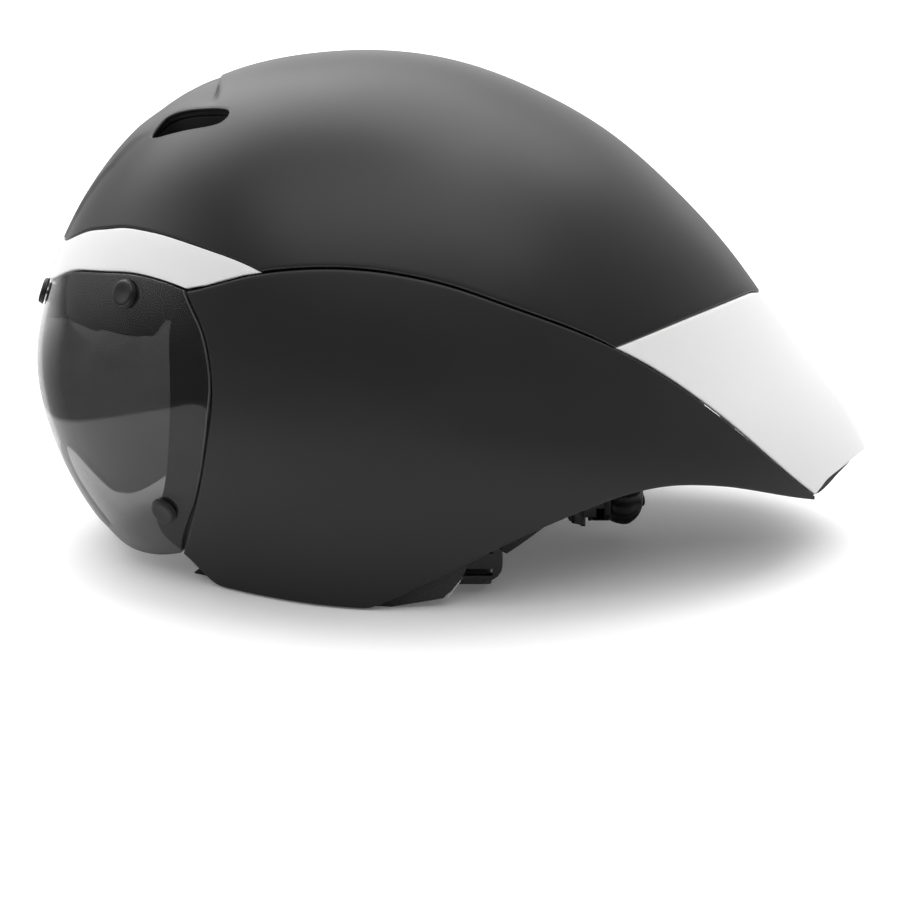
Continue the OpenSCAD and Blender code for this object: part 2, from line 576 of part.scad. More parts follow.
// Middle line of the left wing, which follows the nape and gets lower towards its tip
wing_x = housing_x - housing_wall - 2.6;
wing_top = dial_z + housing_h / 2 - 0.6;
function wing_size(k) = wing_h * (1 - 0.5 * k / 8);
wing_line = [for (k = [0:8])
    [wing_x - 5 * pow(k / 8, 2), 9 - rack_end - 17 * k / 8, wing_top - wing_size(k) / 2]];
// A rack and the wing that it carries; side is 1 for the rack over the pinion
module rack(side) color(black) {
    pitch = PI * tooth_module;
    root = pitch_r + 1.1 * tooth_module;
    translate([housing_x + 0.5, 0, dial_z]) rotate([90, 0, 90])
        linear_extrude(rack_t - 0.2) scale([1, side]) {
        translate([-rack_end, root]) square([rack_end + 2 * pitch, rack_back]);
        for (k = [-ceil((wing_travel + 8) / pitch):1]) translate([k * pitch, 0]) polygon([
            [-tooth_w * 0.75, root + 0.2], [-tooth_w / 2, pitch_r],
            [-tooth_w * 0.22, pitch_r - 0.8 * tooth_module], [tooth_w * 0.22, pitch_r - 0.8 * tooth_module],
            [tooth_w / 2, pitch_r], [tooth_w * 0.75, root + 0.2]]);
    }
    heights = [for (k = [0:8]) wing_size(k)];
    wall(band_side(wing_line, heights, 1), band_side(wing_line, heights, -1));
    translate([wing_x - 2, -rack_end, dial_z - (side > 0 ? 0 : rack_edge)])
        cube([housing_x + 3 - wing_x, 4.5, rack_edge]);
}
module rack_left() rack(1);
module rack_right() mirror([0, 1, 0]) rack(-1);
module wing_pad() color("#202124") {
    rows = [for (i = [1:8]) [for (k = [-3:3])
        wing_line[i] + 1.7 * across(wing_line, i) + [0, 0, wing_size(i) * 0.44 * k / 3]]];
    wall(rows, [for (i = [0:7]) [for (k = [-3:3])
        rows[i][k + 3] + crowned((i - 3.5) / 3.5, k / 3, 4) * across(wing_line, i + 1)]]);
}
module wing_pad_left() wing_pad();
module wing_pad_right() mirror([0, 1, 0]) wing_pad();

// Webbing: a flat band along a line, with the direction of its width at each point
module webbing(line, widths, n = 20) {
    p = [for (k = [0:n]) curve(line, k / n)];
    w = [for (k = [0:n]) let (v = curve(widths, k / n)) v / norm(v) * strap_w / 2];
    t = [for (k = [0:n]) let (d = p[min(k + 1, n)] - p[max(k - 1, 0)], c = cross(d, w[k]))
        c / norm(c) * strap_t / 2];
    wall([for (k = [0:n]) [p[k] + w[k] + t[k], p[k] - w[k] + t[k]]],
        [for (k = [0:n]) [p[k] + w[k] - t[k], p[k] - w[k] - t[k]]]);
}
divider = [10, -0.76 * half_width, 17.5];
anchor_front = [-69, -mix(head_w / 2, half_width, 1 / 6)];
anchor_rear = [60, -0.73 * half_width];
// A point at the given share of the way out from an anchor to the divider
function strap_point(anchor, share, x, z) = [x, mix(anchor[1], divider[1], share), z];
module strap_front() color(black) webbing([strap_point(anchor_front, 0, anchor_front[0], foam_level + 5),
        strap_point(anchor_front, 0, -67, 60), strap_point(anchor_front, 0.2, -50, 49),
        strap_point(anchor_front, 0.6, -28, 38), divider + [-10, 0, 6]],
    [[1, 0, 0], [0.9, 0, 0.4], [0.5, 0, 0.86], [0.45, 0, 0.9], [0.5, 0, 0.86]]);
module strap_rear() color(black) webbing([strap_point(anchor_rear, 0, anchor_rear[0], foam_level + 1),
        strap_point(anchor_rear, 0.2, 59, 58), strap_point(anchor_rear, 0.7, 46, 47),
        strap_point(anchor_rear, 1, 31, 35), divider + [9, 0, 5]],
    [[1, 0, 0], [0.9, 0, -0.4], [0.75, 0, -0.66], [0.7, 0, -0.7], [0.7, 0, -0.7]]);
module strap_front_left() strap_front();
module strap_front_right() mirror([0, 1, 0]) strap_front();
module strap_rear_left() strap_rear();
module strap_rear_right() mirror([0, 1, 0]) strap_rear();
// Blocks that hold the upper ends of the straps in the foam
module anchor_blocks(grow) on_both() {
    for (a = [[anchor_front, foam_level + 2.5], [anchor_rear, foam_level - 1.5]])
        translate([a[0][0], a[0][1], a[1] + 3])
            cube([strap_w + 6 + 2 * grow, 6 + 2 * grow, 6 + 2 * grow], center = true);
}
module strap_anchors() color(black) anchor_blocks(0);
module plate(w, h, r) hull() for (x = [r - w / 2, w / 2 - r]) for (z = [r - h / 2, h / 2 - r])
    translate([x, z]) circle(r, $fn = 16);
module strap_divider() color(black) translate(divider + [0, divider_t / 2, 0]) rotate([90, 0, 0])
    linear_extrude(divider_t) difference() {
        plate(strap_w + 9, 18, 7);
        translate([0, 5]) square([strap_w + 0.6, 3], center = true);
        translate([0, -5]) square([strap_w + 0.6, 3], center = true);
    }
module divider_left() strap_divider();
module divider_right() mirror([0, 1, 0]) strap_divider();
// The chin straps lie just over the floor, so that the keeper fits round them
chin_x = divider[0];
floor_z = keeper_wall + fit + 0.1 + strap_t / 2;
socket_y = -22;
plug_y = 6;
plug_l = 15;
splice_y = 36;
function chin_line(end) = [divider + [0, 0.5, -8.5], divider + [0, 4, -11.5],
    divider + [0, 9, floor_z + 1.3 - divider[2]], [chin_x, divider[1] + 15, floor_z],
    [chin_x, -48, floor_z], [chin_x, -end, floor_z]];
module chin_strap_left() color(black) webbing(chin_line(fit - socket_y), [for (k = [0:5]) [1, 0, 0]]);
module chin_strap_right() color(black) mirror([0, 1, 0])
    webbing(chin_line(splice_y), [for (k = [0:5]) [1, 0, 0]]);
// The free end of the left chin strap lies on the floor and shows under the front of the panel
module strap_end_left() color(black) webbing([for (q = [[chin_x - strap_w / 2 - fit, 0.577], [-34, 0.596],
        [-70, 0.587], [-90, 0.548], [-106, 0.471]]) [q[0], -q[1] * half_width, floor_z]],
    [[0, 1, 0], [0.05, 1, 0], [0.05, 1, 0], [0.35, 1, 0], [0.5, 1, 0]], 16);
module strap_keeper() color(black) {
    inner_h = 2 * strap_t + 3 * fit;
    translate([chin_x, splice_y + 5, floor_z - strap_t / 2 - fit]) rotate([90, 0, 0])
        linear_extrude(5) difference() {
        translate([-strap_w / 2 - fit - keeper_wall, -keeper_wall])
            square([strap_w + 2 * fit + 2 * keeper_wall, inner_h + 2 * keeper_wall]);
        translate([-strap_w / 2 - fit, 0]) square([strap_w + 2 * fit, inner_h]);
    }
}
// The buckle: a socket with side windows, and a plug with two latch arms and a guide tongue
module buckle_socket() color(black) difference() {
    translate([chin_x - buckle_w / 2, socket_y, 0]) cube([buckle_w, plug_y - socket_y - fit, buckle_h]);
    translate([chin_x - buckle_w / 2 + 2, socket_y + 6, 2]) cube([buckle_w - 4, 40, buckle_h - 4]);
    translate([chin_x - buckle_w / 2 - 1, socket_y + 10, 2]) cube([buckle_w + 2, 9, buckle_h - 4]);
}
plug_base = floor_z + strap_t / 2 + fit;
module buckle_plug() color(black) {
    difference() {
        translate([chin_x - buckle_w / 2, plug_y, plug_base]) cube([buckle_w, plug_l, buckle_h - plug_base]);
        translate([chin_x - strap_w / 2 - 0.4, plug_y + 6, plug_base - 1]) cube([strap_w + 0.8, 4, buckle_h]);
    }
    for (s = [-1, 1]) translate([chin_x + s * (buckle_w / 2 - 5) - 1.5, socket_y + 10, 2.4])
        cube([3, plug_y - socket_y - 9, buckle_h - 4.8]);
    translate([chin_x - 2, socket_y + 8, 2.4]) cube([4, plug_y - socket_y - 7, buckle_h - 4.8]);
}
module plug_strap() color(black) {
    z = floor_z + strap_t + fit;
    webbing([for (y = [plug_y + plug_l + 0.1, splice_y - 8, splice_y, splice_y + 6]) [chin_x, y, z]],
        [for (k = [0:3]) [1, 0, 0]], 6);
}

// The visor
function lens_grid(n, m) =
    let (rear = shifted(panel_front, -edge_gap, 0),
        top = from_ridge(concat([[ridge_lens, 1]], all_at(lens_top), [at(rear[0])])),
        bottom = from_ridge(concat(notch, all_at(lens_bottom), [at(rear[5])]), 24))
    [for (i = [0:n]) [for (k = [-m:m])
        let (p = patch(top, bottom, [top[0], bottom[0]], all_at(rear), abs(k) / m, i / n))
        k > 0 ? opposite(p) : p]];
module visor_lens() color("#55585c") difference() {
    skin_wall(lens_grid(10, 16), 0, lens_wall);
    at_magnets(0) translate([0, 0, -10]) cylinder(h = 20, r = magnet_r + 0.15, $fn = 32);
}
module visor_buttons() color(black) at_magnets(0) difference() {
    translate([0, 0, fit]) union() {
        cylinder(h = button_h - 1, r = button_r, $fn = 32);
        translate([0, 0, button_h - 1]) cylinder(h = 1, r1 = button_r, r2 = button_r - 1.2, $fn = 32);
    }
    translate([0, 0, -1]) cylinder(h = button_h, r = magnet_r + 0.05, $fn = 32);
}
module visor_magnets() color("silver") at_magnets(0) translate([0, 0, -lens_wall - magnet_reach])
    cylinder(h = lens_wall + magnet_reach + button_h - 1.2, r = magnet_r, $fn = 32);
module nose_guard() color(black) {
    low = from_ridge(concat(notch, all_at(lens_bottom)), 20);
    half = [for (k = [0:12]) curve(low, 0.62 * k / 12)];
    places = concat([for (k = [12:-1:0]) half[k]], [for (k = [1:12]) opposite(half[k])]);
    tube([for (p = places) hull_point(p, lens_wall / 2)], guard_r, 8);
}
// A round tube along a path
module tube(path, r, sides) {
    n = len(path);
    ring = function (i) let (d = path[min(i + 1, n - 1)] - path[max(i - 1, 0)], t = d / norm(d),
            a = cross(t, [1, 0, 0]), u = a / norm(a), v = cross(t, u))
        [for (k = [0:sides - 1]) path[i] + r * (cos(360 * k / sides) * u + sin(360 * k / sides) * v)];
    points = [for (i = [0:n - 1]) for (p = ring(i)) p];
    polyhedron(points, concat([[for (k = [0:sides - 1]) k]],
        [for (i = [0:n - 2]) for (k = [0:sides - 1])
            let (b = i * sides, l = (k + 1) % sides) [b + k, b + sides + k, b + sides + l]],
        [for (i = [0:n - 2]) for (k = [0:sides - 1])
            let (b = i * sides, l = (k + 1) % sides) [b + k, b + sides + l, b + l]],
        [[for (k = [sides - 1:-1:0]) (n - 1) * sides + k]]));
}

crown_shell();
brow_band();
tail_fairing();
side_panel_left();
side_panel_right();
tail_underside();
foam_liner();
vent_duct_left();
vent_duct_right();
brow_rail();
steel_seats();
brow_pad();
crown_pad();
side_pad_left();
side_pad_right();
ear_pad_left();
ear_pad_right();
pad_hook_dots();
temple_pins();
strap_front_left();
strap_front_right();
strap_rear_left();
strap_rear_right();
strap_anchors();
divider_left();
divider_right();
chin_strap_left();
chin_strap_right();
strap_end_left();
strap_keeper();
buckle_socket();
visor_lens();
visor_buttons();
visor_magnets();
nose_guard();
cradle_yoke();
dial_housing();
housing_cover();
nape_pad();
dial_knob();
dial_pinion();
rack_left();
rack_right();
wing_pad_left();
wing_pad_right();
buckle_plug();
plug_strap();
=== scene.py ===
# %% [markdown]
# # An aero helmet, built as surfaces
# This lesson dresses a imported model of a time-trial helmet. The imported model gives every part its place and
# its motion, so nothing here is fitted by eye: each piece below is worked out in the same millimetres as the
# solid it stands for, and then written in metres. The front looks towards -X, the tail points to +X, the
# wearer's left is -Y and the helmet stands on Z = 0.

import math

import bmesh
import bpy
import numpy as np
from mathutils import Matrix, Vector


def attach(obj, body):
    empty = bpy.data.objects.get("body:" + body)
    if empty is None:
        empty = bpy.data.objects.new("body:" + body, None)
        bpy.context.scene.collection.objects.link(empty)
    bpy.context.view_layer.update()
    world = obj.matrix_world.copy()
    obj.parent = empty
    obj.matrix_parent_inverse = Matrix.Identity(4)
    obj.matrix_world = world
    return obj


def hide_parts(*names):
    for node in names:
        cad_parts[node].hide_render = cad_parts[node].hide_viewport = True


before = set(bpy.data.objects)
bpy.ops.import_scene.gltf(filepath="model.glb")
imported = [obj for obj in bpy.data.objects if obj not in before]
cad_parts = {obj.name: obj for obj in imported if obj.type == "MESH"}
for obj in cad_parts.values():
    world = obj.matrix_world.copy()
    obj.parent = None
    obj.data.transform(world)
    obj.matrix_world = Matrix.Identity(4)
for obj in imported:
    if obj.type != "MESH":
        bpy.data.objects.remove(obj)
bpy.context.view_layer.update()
MM = 0.001

# %% [markdown]
# ## The camera
# The photograph was taken from the helmet's left, a little above it. A long lens far away gives the same calm
# perspective: the camera stands 1.36 m from the middle of the helmet and looks down by 20 degrees.

# %% Camera
LOOK_DOWN = math.radians(20)
CAMERA_DISTANCE = 1.36
AIM_HEIGHT = 0.0375
LENS_LENGTH, SENSOR_WIDTH = 123.6, 36
camera = bpy.data.objects.new("camera", bpy.data.cameras.new("camera"))
camera.data.lens = LENS_LENGTH
camera.data.sensor_width = SENSOR_WIDTH
camera.location = (
    0, -CAMERA_DISTANCE * math.cos(LOOK_DOWN), AIM_HEIGHT + CAMERA_DISTANCE * math.sin(LOOK_DOWN))
camera.rotation_euler = (math.pi / 2 - LOOK_DOWN, 0, 0)
bpy.context.scene.collection.objects.link(camera)
bpy.context.scene.camera = camera
print("camera height", round(camera.location.z, 3))

# %% [markdown]
# ## Shader maths as Python
# A material is a small calculation: noise, masks and colours flow into a shader. Writing each node by hand is
# long, so `Value` wraps one socket and turns +, - and * into Math nodes, `Tree` adds every other node by its
# type, its settings and its inputs, and `Finish` is the tree of one material.

# %% Value, Tree and Finish
class Value:
    """One output socket inside a material. Arithmetic on it adds the Math node of that name."""

    def __init__(self, finish, socket):
        self.finish, self.socket = finish, socket

    def math(self, operation, *others):
        return self.finish.add("ShaderNodeMath", {"operation": operation}, {i: v for i, v in enumerate(others)})

    def __add__(self, other):
        return self.math("ADD", self, other)

    def __sub__(self, other):
        return self.math("SUBTRACT", self, other)

    def __rsub__(self, other):
        return self.math("SUBTRACT", other, self)

    def __mul__(self, other):
        return self.math("MULTIPLY", self, other)

    def sine(self):
        return self.math("SINE", self)

    def ramp(self, low, high, out_low=0.0, out_high=1.0):
        """Moves the span low to high evenly onto out_low to out_high and clamps what lies outside."""
        span = {0: self, 1: low, 2: high, 3: out_low, 4: out_high}
        return self.finish.add("ShaderNodeMapRange", {"clamp": True}, span)


class Tree:
    """A node tree to which nodes are added by type, settings and inputs."""

    def __init__(self, tree):
        self.nodes, self.links = tree.nodes, tree.links

    def add(self, kind, settings=None, inputs=None, output=0):
        """Adds a node, makes its settings, then fills or links its inputs, and returns one output."""
        node = self.nodes.new(kind)
        for key, value in (settings or {}).items():
            setattr(node, key, value)
        for key, value in (inputs or {}).items():
            self.wire(value, node.inputs[key])
        return Value(self, node.outputs[output])

    def wire(self, value, socket):
        if isinstance(value, Value):
            self.links.new(value.socket, socket)
        else:
            socket.default_value = value


class Finish(Tree):
    """A material, with the patterns that the finishes below share."""

    def __init__(self, name, **plain):
        self.material = bpy.data.materials.new(name)
        self.material.use_nodes = True
        super().__init__(self.material.node_tree)
        self.shader = self.nodes["Principled BSDF"]
        for socket, value in plain.items():
            self.shader.inputs[socket.replace("_", " ")].default_value = value

    def set(self, **inputs):
        for key, value in inputs.items():
            self.wire(value, self.shader.inputs[key.replace("_", " ")])

    def place(self):
        """The point on the object, in metres."""
        return self.add("ShaderNodeTexCoord", output="Object")

    def noise(self, scale, detail=2.0):
        """Noise with features about 1 / scale metres across."""
        return self.add("ShaderNodeTexNoise", {}, {"Vector": self.place(), "Scale": scale, "Detail": detail})

    def blend(self, amount, low, high):
        """Mixes two colours by amount."""
        return self.add("ShaderNodeMix", {"data_type": "RGBA"}, {0: amount, 6: low, 7: high}, output=2)

    def bump(self, height, distance, strength=1.0):
        """Tilts the normal by a height field, with distance as its full height in metres."""
        return self.add("ShaderNodeBump", {}, {"Strength": strength, "Distance": distance, "Height": height})

    def attribute(self, name):
        return self.add("ShaderNodeAttribute", {"attribute_name": name}, {}, output="Fac")


def grey(level, warmth=0.0):
    """An sRGB grey from 0 to 255 as a linear colour, with a little more red and less blue for warmth."""
    tone = np.array([level + warmth, level, level - warmth]) / 255
    linear = np.where(tone < 0.04045, tone / 12.92, ((tone + 0.055) / 1.055) ** 2.4)
    return (*[float(c) for c in linear], 1.0)


print("sRGB grey 128 as linear light:", [round(c, 4) for c in grey(128)])

# %% [markdown]
# ## Finishes of the shells
# The real shell is in-mould plastic with a soft matte coat. Up close that coat has a fine orange-peel texture
# and a slow unevenness in its gloss. Along the edges it is a little smoother, and a paler colour is painted in
# there as the highlight of the rounded rim. Every shell mesh carries an `edge` attribute, 1 on its rounded rim
# and 0 inside, which the finish reads for that smoothness and painted highlight.

# %% Matte shell finishes
def shell_finish(name, tone, rough, rim_highlight_tone, gloss=0.42):
    """Matte coat: a colour that drifts by a few percent, fine peel, smoother rims, and a paler colour painted onto the
    rims as their highlight.
    """
    coat = Finish(name, Specular_IOR_Level=gloss)
    drift = coat.noise(14.0, 3.0).ramp(0.3, 0.7)
    speckle = coat.noise(2600.0, 2.0).ramp(0.35, 0.7)
    peel = coat.noise(900.0, 3.0)
    rim = coat.attribute("edge")
    base = coat.blend(drift * 0.6 + speckle * 0.4, grey(tone - 2), grey(tone + 3))
    # painted highlight: the colour of the rounded rim is mixed towards a paler tone, standing in for the light line
    # that a rounded rim catches
    rim_highlight = (rim * speckle.ramp(0.0, 0.6, 0.55, 1.0)).ramp(0.2, 1.0)
    coat.set(
        Base_Color=coat.blend(rim_highlight * 0.55, base, grey(rim_highlight_tone)),
        Roughness=drift * 0.06 + (speckle * 0.05 + rough) - rim_highlight * 0.12,
        Normal=coat.bump(peel, 0.00002, 0.4),
    )
    return coat.material


# the third number of each finish is the paler tone painted onto its rims as a highlight
charcoal = shell_finish("matte_charcoal", 23, 0.37, 66, gloss=0.55)
side_charcoal = shell_finish("matte_charcoal_side", 26, 0.46, 80, gloss=0.4)
white_coat = shell_finish("satin_white", 228, 0.42, 240)
print("shell finishes:", charcoal.name, side_charcoal.name, white_coat.name)

# %% [markdown]
# ## Meshes from arrays
# Every new piece is a grid of points worked out with numpy. A grid's cells become quads, and two grids joined
# round their borders make a closed wall. The signed volume of a closed mesh tells which way its faces point,
# so one check turns every piece outwards.

# %% Grids and closed meshes
SMOOTH_ANGLE = 35
MERGE_DISTANCE = 1e-6


def grid_faces(rows, columns, start=0):
    """Quads of a grid of points numbered row by row from start."""
    corner = start + np.arange(rows * columns).reshape(rows, columns)
    return np.stack([corner[:-1, :-1], corner[:-1, 1:], corner[1:, 1:], corner[1:, :-1]], -1).reshape(-1, 4)


def ring_quads(rings, count):
    """Quads between rings of count points each, numbered ring by ring."""
    corner = np.arange(rings * count).reshape(rings, count)
    after = np.roll(corner, -1, 1)
    return np.stack([corner[:-1], after[:-1], after[1:], corner[1:]], -1).reshape(-1, 4)


def border(rows, columns):
    """Numbers of a grid's border points, once round."""
    corner = np.arange(rows * columns).reshape(rows, columns)
    return np.concatenate([corner[0, :-1], corner[:-1, -1], corner[-1, :0:-1], corner[:0:-1, 0]])


def signed_volume(points, faces):
    """Six times the volume is the sum of a . (b x c) over the triangles; it is positive for outward faces."""
    a, b, c, d = (points[faces[:, k]] for k in range(4))
    return (np.einsum("ij,ij->i", a, np.cross(b, c)) + np.einsum("ij,ij->i", a, np.cross(c, d))).sum() / 6


def new_piece(name, points, faces, finish, body="helmet", smooth=SMOOTH_ANGLE, attributes=None):
    """Writes points in millimetres and quads into a mesh, turned outwards, and lets it ride on a body."""
    points = np.asarray(points, float).reshape(-1, 3)
    faces = np.asarray(faces)
    if signed_volume(points, faces) < 0:
        faces = faces[:, ::-1]
    mesh = bpy.data.meshes.new(name)
    mesh.from_pydata((points * MM).tolist(), [], faces.tolist())
    for key, values in (attributes or {}).items():
        layer = mesh.attributes.new(key, "FLOAT", "POINT")
        layer.data.foreach_set("value", np.ascontiguousarray(values, np.float32).ravel())
    piece = bpy.data.objects.new(name, mesh)
    bpy.context.scene.collection.objects.link(piece)
    return finished(piece, finish, body, smooth)


def finished(piece, finish, body="helmet", smooth=SMOOTH_ANGLE):
    """Merges doubled points, shades smoothly up to an angle, and gives the piece its finish and body."""
    shape = bmesh.new()
    shape.from_mesh(piece.data)
    bmesh.ops.remove_doubles(shape, verts=shape.verts, dist=MERGE_DISTANCE)
    shape.to_mesh(piece.data)
    shape.free()
    piece.data.shade_smooth()
    piece.data.set_sharp_from_angle(angle=math.radians(smooth))
    piece.data.materials.clear()
    piece.data.materials.append(finish)
    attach(piece, body)
    return piece


def wall_mesh(outer, inner):
    """Points and quads of a closed wall between two grids of one size."""
    rows, columns = outer.shape[:2]
    count = rows * columns
    rim = border(rows, columns)
    after = np.roll(rim, -1)
    faces = [
        grid_faces(rows, columns),
        grid_faces(rows, columns, count)[:, ::-1],
        np.stack([rim, rim + count, after + count, after], -1),
    ]
    return np.concatenate([outer.reshape(-1, 3), inner.reshape(-1, 3)]), np.concatenate(faces)


print("a 3 by 3 grid has", len(grid_faces(3, 3)), "quads")

# %% [markdown]
# ## The hull
# All outer shells lie on one smooth hull. Its side outline is a closed curve round a point at the ear, given by
# a radius every 15 degrees, and each section from the ear to the middle line is a rounded arch whose fullness
# also changes with the angle. A point is named by its angle round the ear and its depth: 0 is the ear, 1 is the
# ridge along the middle line and 2 is the other ear.

# %% Hull surface
EAR = np.array([-25.0, 85.0])
HALF_WIDTH = 104.0
OUTLINE = np.array([172, 153, 139, 133, 128, 128, 129, 132, 139, 144, 146.5, 148,
                    156, 153, 150, 142, 150, 170, 185, 195, 205, 220, 235, 226], float)
FULLNESS = np.array([0.62, 0.56, 0.5, 0.5, 0.5, 0.5, 0.45, 0.58])


def b_spline(controls, angle):
    """A closed cubic B-spline read at angles in degrees: four neighbours weighted by cubics of the step."""
    count = len(controls)
    t = np.mod(angle, 360) * count / 360
    i = np.floor(t).astype(int)
    s = t - i
    weights = ((1 - s) ** 3, 3 * s**3 - 6 * s**2 + 4, -3 * s**3 + 3 * s**2 + 3 * s + 1, s**3)
    return sum(w * controls[(i + k - 1) % count] for k, w in enumerate(weights)) / 6


def half_width(rho, angle, inset):
    """Half width of the inset hull at a share rho of its reach: (1 - rho^2)^fullness of the greatest."""
    return (HALF_WIDTH - inset) * np.clip(1 - rho**2, 0, 1) ** b_spline(FULLNESS, angle)


def hull(place, inset=0.0):
    """Angle and depth to a point: radius times sin(90 depth) along the angle, and half width times
    (1 - sin^2)^fullness to the side, both less the inset."""
    angle, depth = place[..., 0], place[..., 1]
    near = np.where(depth > 1, 2 - depth, depth)
    rho = np.sin(np.radians(90 * near))
    reach = rho * (b_spline(OUTLINE, angle) - inset)
    side = half_width(rho, angle, inset)
    turn = np.radians(angle)
    across = np.where(depth > 1, side, -side)
    return np.stack([EAR[0] + reach * np.cos(turn), across, EAR[1] + reach * np.sin(turn)], -1)


def from_side(point):
    """A side-view point (x, z) as angle and depth; the angle runs from -90 to 270 degrees."""
    offset = np.asarray(point, float) - EAR
    angle = np.degrees(np.arctan2(offset[..., 1], offset[..., 0]))
    angle = np.where(angle < -90, angle + 360, angle)
    rho = np.minimum(1, np.hypot(offset[..., 0], offset[..., 1]) / b_spline(OUTLINE, angle))
    return np.stack([angle, np.degrees(np.arcsin(rho)) / 90], -1)


def half_width_at(point, inset):
    """Half width of the inset hull at side-view points (x, z)."""
    offset = point - EAR
    angle = np.degrees(np.arctan2(offset[..., 1], offset[..., 0]))
    rho = np.hypot(offset[..., 0], offset[..., 1]) / (b_spline(OUTLINE, angle) - inset)
    return half_width(rho, angle, inset)


def opposite(place):
    """The same place on the other side of the ridge."""
    return np.stack([place[..., 0], 2 - place[..., 1]], -1)


def folded(place, v):
    """Places with v up to one half stay, and those beyond it go to the other side of the ridge."""
    return np.where((v > 0.5)[..., None], opposite(place), place)


def hull_normal(place):
    """The outward direction square to the hull: the cross product of two small steps on it."""
    here = hull(place)
    normal = np.cross(hull(place + [0.5, 0]) - here, hull(place + [0, 0.01]) - here)
    normal /= np.linalg.norm(normal, axis=-1, keepdims=True)
    outward = np.sum(normal * (here - hull(place, 5.0)), -1, keepdims=True)
    return np.where(outward > 0, normal, -normal)


print("ridge over the ear:", hull(np.array([90.0, 1.0])).round(1))

# %% [markdown]
# ## Edges and patches
# The seams were drawn as side-view curves through a few points. Between four edge curves that share corners, a
# Coons patch fills the area: the two blends from edge to opposite edge are added, and the blend of the corners
# is taken away. Here the patch lives in angle and depth, so it bends with the hull.

# %% Curves, patches and the seam lines
def curve(points, s):
    """A Catmull-Rom curve through the points for s from 0 to 1, with mirrored neighbours at its ends."""
    points = np.asarray(points, float)
    last = len(points) - 1
    t = np.clip(s, 0, 1) * last
    i = np.minimum(np.floor(t).astype(int), last - 1)
    f = (t - i)[..., None]
    padded = np.concatenate([[2 * points[0] - points[1]], points, [2 * points[-1] - points[-2]]])
    a, b, c, d = (padded[i + k] for k in range(4))
    return 0.5 * (2 * b + (c - a) * f + (2 * a - 5 * b + 4 * c - d) * f**2 + (3 * b - a - 3 * c + d) * f**3)


def from_ridge(points, count=24):
    """Points of a curve that starts on the ridge and leaves it squarely, because its first span is
    mirrored over the ridge."""
    points = np.asarray(points, float)
    last = len(points) - 1
    s = np.linspace(0, last, count + 1)
    mirrored = np.stack([opposite(points[1]), points[0], points[1], points[2]])
    return np.where((s < 1)[:, None], curve(mirrored, (1 + np.minimum(s, 1)) / 3), curve(points, s / last))


def coons(top, bottom, start, end, u, v):
    """Blend of top and bottom by v, plus blend of start and end by u, less the blend of the corners."""
    u1, v1 = u[..., None], v[..., None]
    t, b, s, e = curve(top, u), curve(bottom, u), curve(start, v), curve(end, v)
    t0, t1, b0, b1 = (np.asarray(c, float) for c in (top[0], top[-1], bottom[0], bottom[-1]))
    corners = (t0 * (1 - u1) + t1 * u1) * (1 - v1) + (b0 * (1 - u1) + b1 * u1) * v1
    return t * (1 - v1) + b * v1 + s * (1 - u1) + e * u1 - corners


def shifted(points, dx, dz):
    return np.asarray(points, float) + [dx, dz]


SEAM = np.array([[-107.5, 134.8], [-76, 145], [-44, 148], [-12, 144],
                 [20, 133], [68, 110], [112, 77], [156, 34]], float)
SEAM_BROW, SEAM_TAIL = 1 / 7, 5 / 7
PANEL_FRONT = [[-107.5, 134.8], [-99.5, 117], [-97, 95], [-100, 72], [-105, 46], [-113, 15]]
PANEL_BOTTOM = [[-113, 15], [-92, -2.5], [-44, -3], [-4, 16.5], [38, 38], [78, 51], [113, 48], [156, 32]]
FLANGE_FRONT = [[-110.5, 131], [-116.5, 119], [-117, 88], [-119, 62],
                [-122, 44], [-126.5, 34], [-124, 21], [-116, 13]]
LENS_TOP = [[-157, 129.8], [-144, 134], [-130, 136.8], [-118, 136.6]]
LENS_BOTTOM = [[-142, 6], [-128, 8.5]]
BROW_TOP = [[-148, 148], [-134, 153], [-122, 154], [-100, 151.5]]
TAIL_FRONT = [[128, 114], [100, 115]]
NOTCH = [[197, 1], [200, 0.93], [206, 0.895], [211, 0.87]]
RIDGE_LENS, RIDGE_BROW, RIDGE_TAIL, RIDGE_END = 168.2, 160.7, 9.0, -12.8
SEAM_GAP, PAINT_GAP, EDGE_GAP = 0.8, 0.4, 0.9
SKIN, PANEL_WALL, LENS_WALL, RAIL_WALL, FIT = 3.0, 3.4, 2.2, 3.0, 0.3
LENS_CLEARANCE = 0.9
SEAT_INSET = LENS_WALL + LENS_CLEARANCE
RAIL_DROP = 15.0
FRONT_DEGREE, REAR_DEGREE = 2.6, 2.8  # millimetres of ridge in one degree, at the brow and at the tail


def seam_part(start, stop, rise, count=12):
    return from_side(shifted(curve(SEAM, np.linspace(start, stop, count)), 0, rise))


def lens_top_edge(rise):
    side = from_side(np.concatenate([shifted(LENS_TOP, 0, rise), shifted([PANEL_FRONT[0]], 0, rise)]))
    return from_ridge(np.concatenate([[[RIDGE_LENS - rise / FRONT_DEGREE, 1]], side]))


def brow_top_edge(rise):
    side = from_side(np.concatenate([shifted(BROW_TOP, 0, rise), [curve(SEAM, np.array(SEAM_BROW)) + [0, rise]]]))
    return from_ridge(np.concatenate([[[RIDGE_BROW - rise / FRONT_DEGREE, 1]], side]))


def tail_front_edge(back):
    corner = curve(SEAM, np.array(SEAM_TAIL)) + [back, 0]
    side = from_side(np.concatenate([shifted(TAIL_FRONT, back / 2, -back), [corner]]))
    return from_ridge(np.concatenate([[[RIDGE_TAIL - back / REAR_DEGREE, 1]], side]))


print("brow edge leaves the ridge at", hull(brow_top_edge(0)[0]).round(1))

# %% [markdown]
# ## Shells with rounded rims
# A moulded shell has no knife edge: its rim is rounded, and that soft line is what catches the light along a
# seam. The grid of a shell therefore gets extra rows close to its border, at the distances of a quarter circle,
# and each row is sunk by that circle's depth. The distance is measured in real millimetres along the surface,
# so the rounding stays even where the patch narrows.

# %% Rounded shell
LIP_STEPS = 5


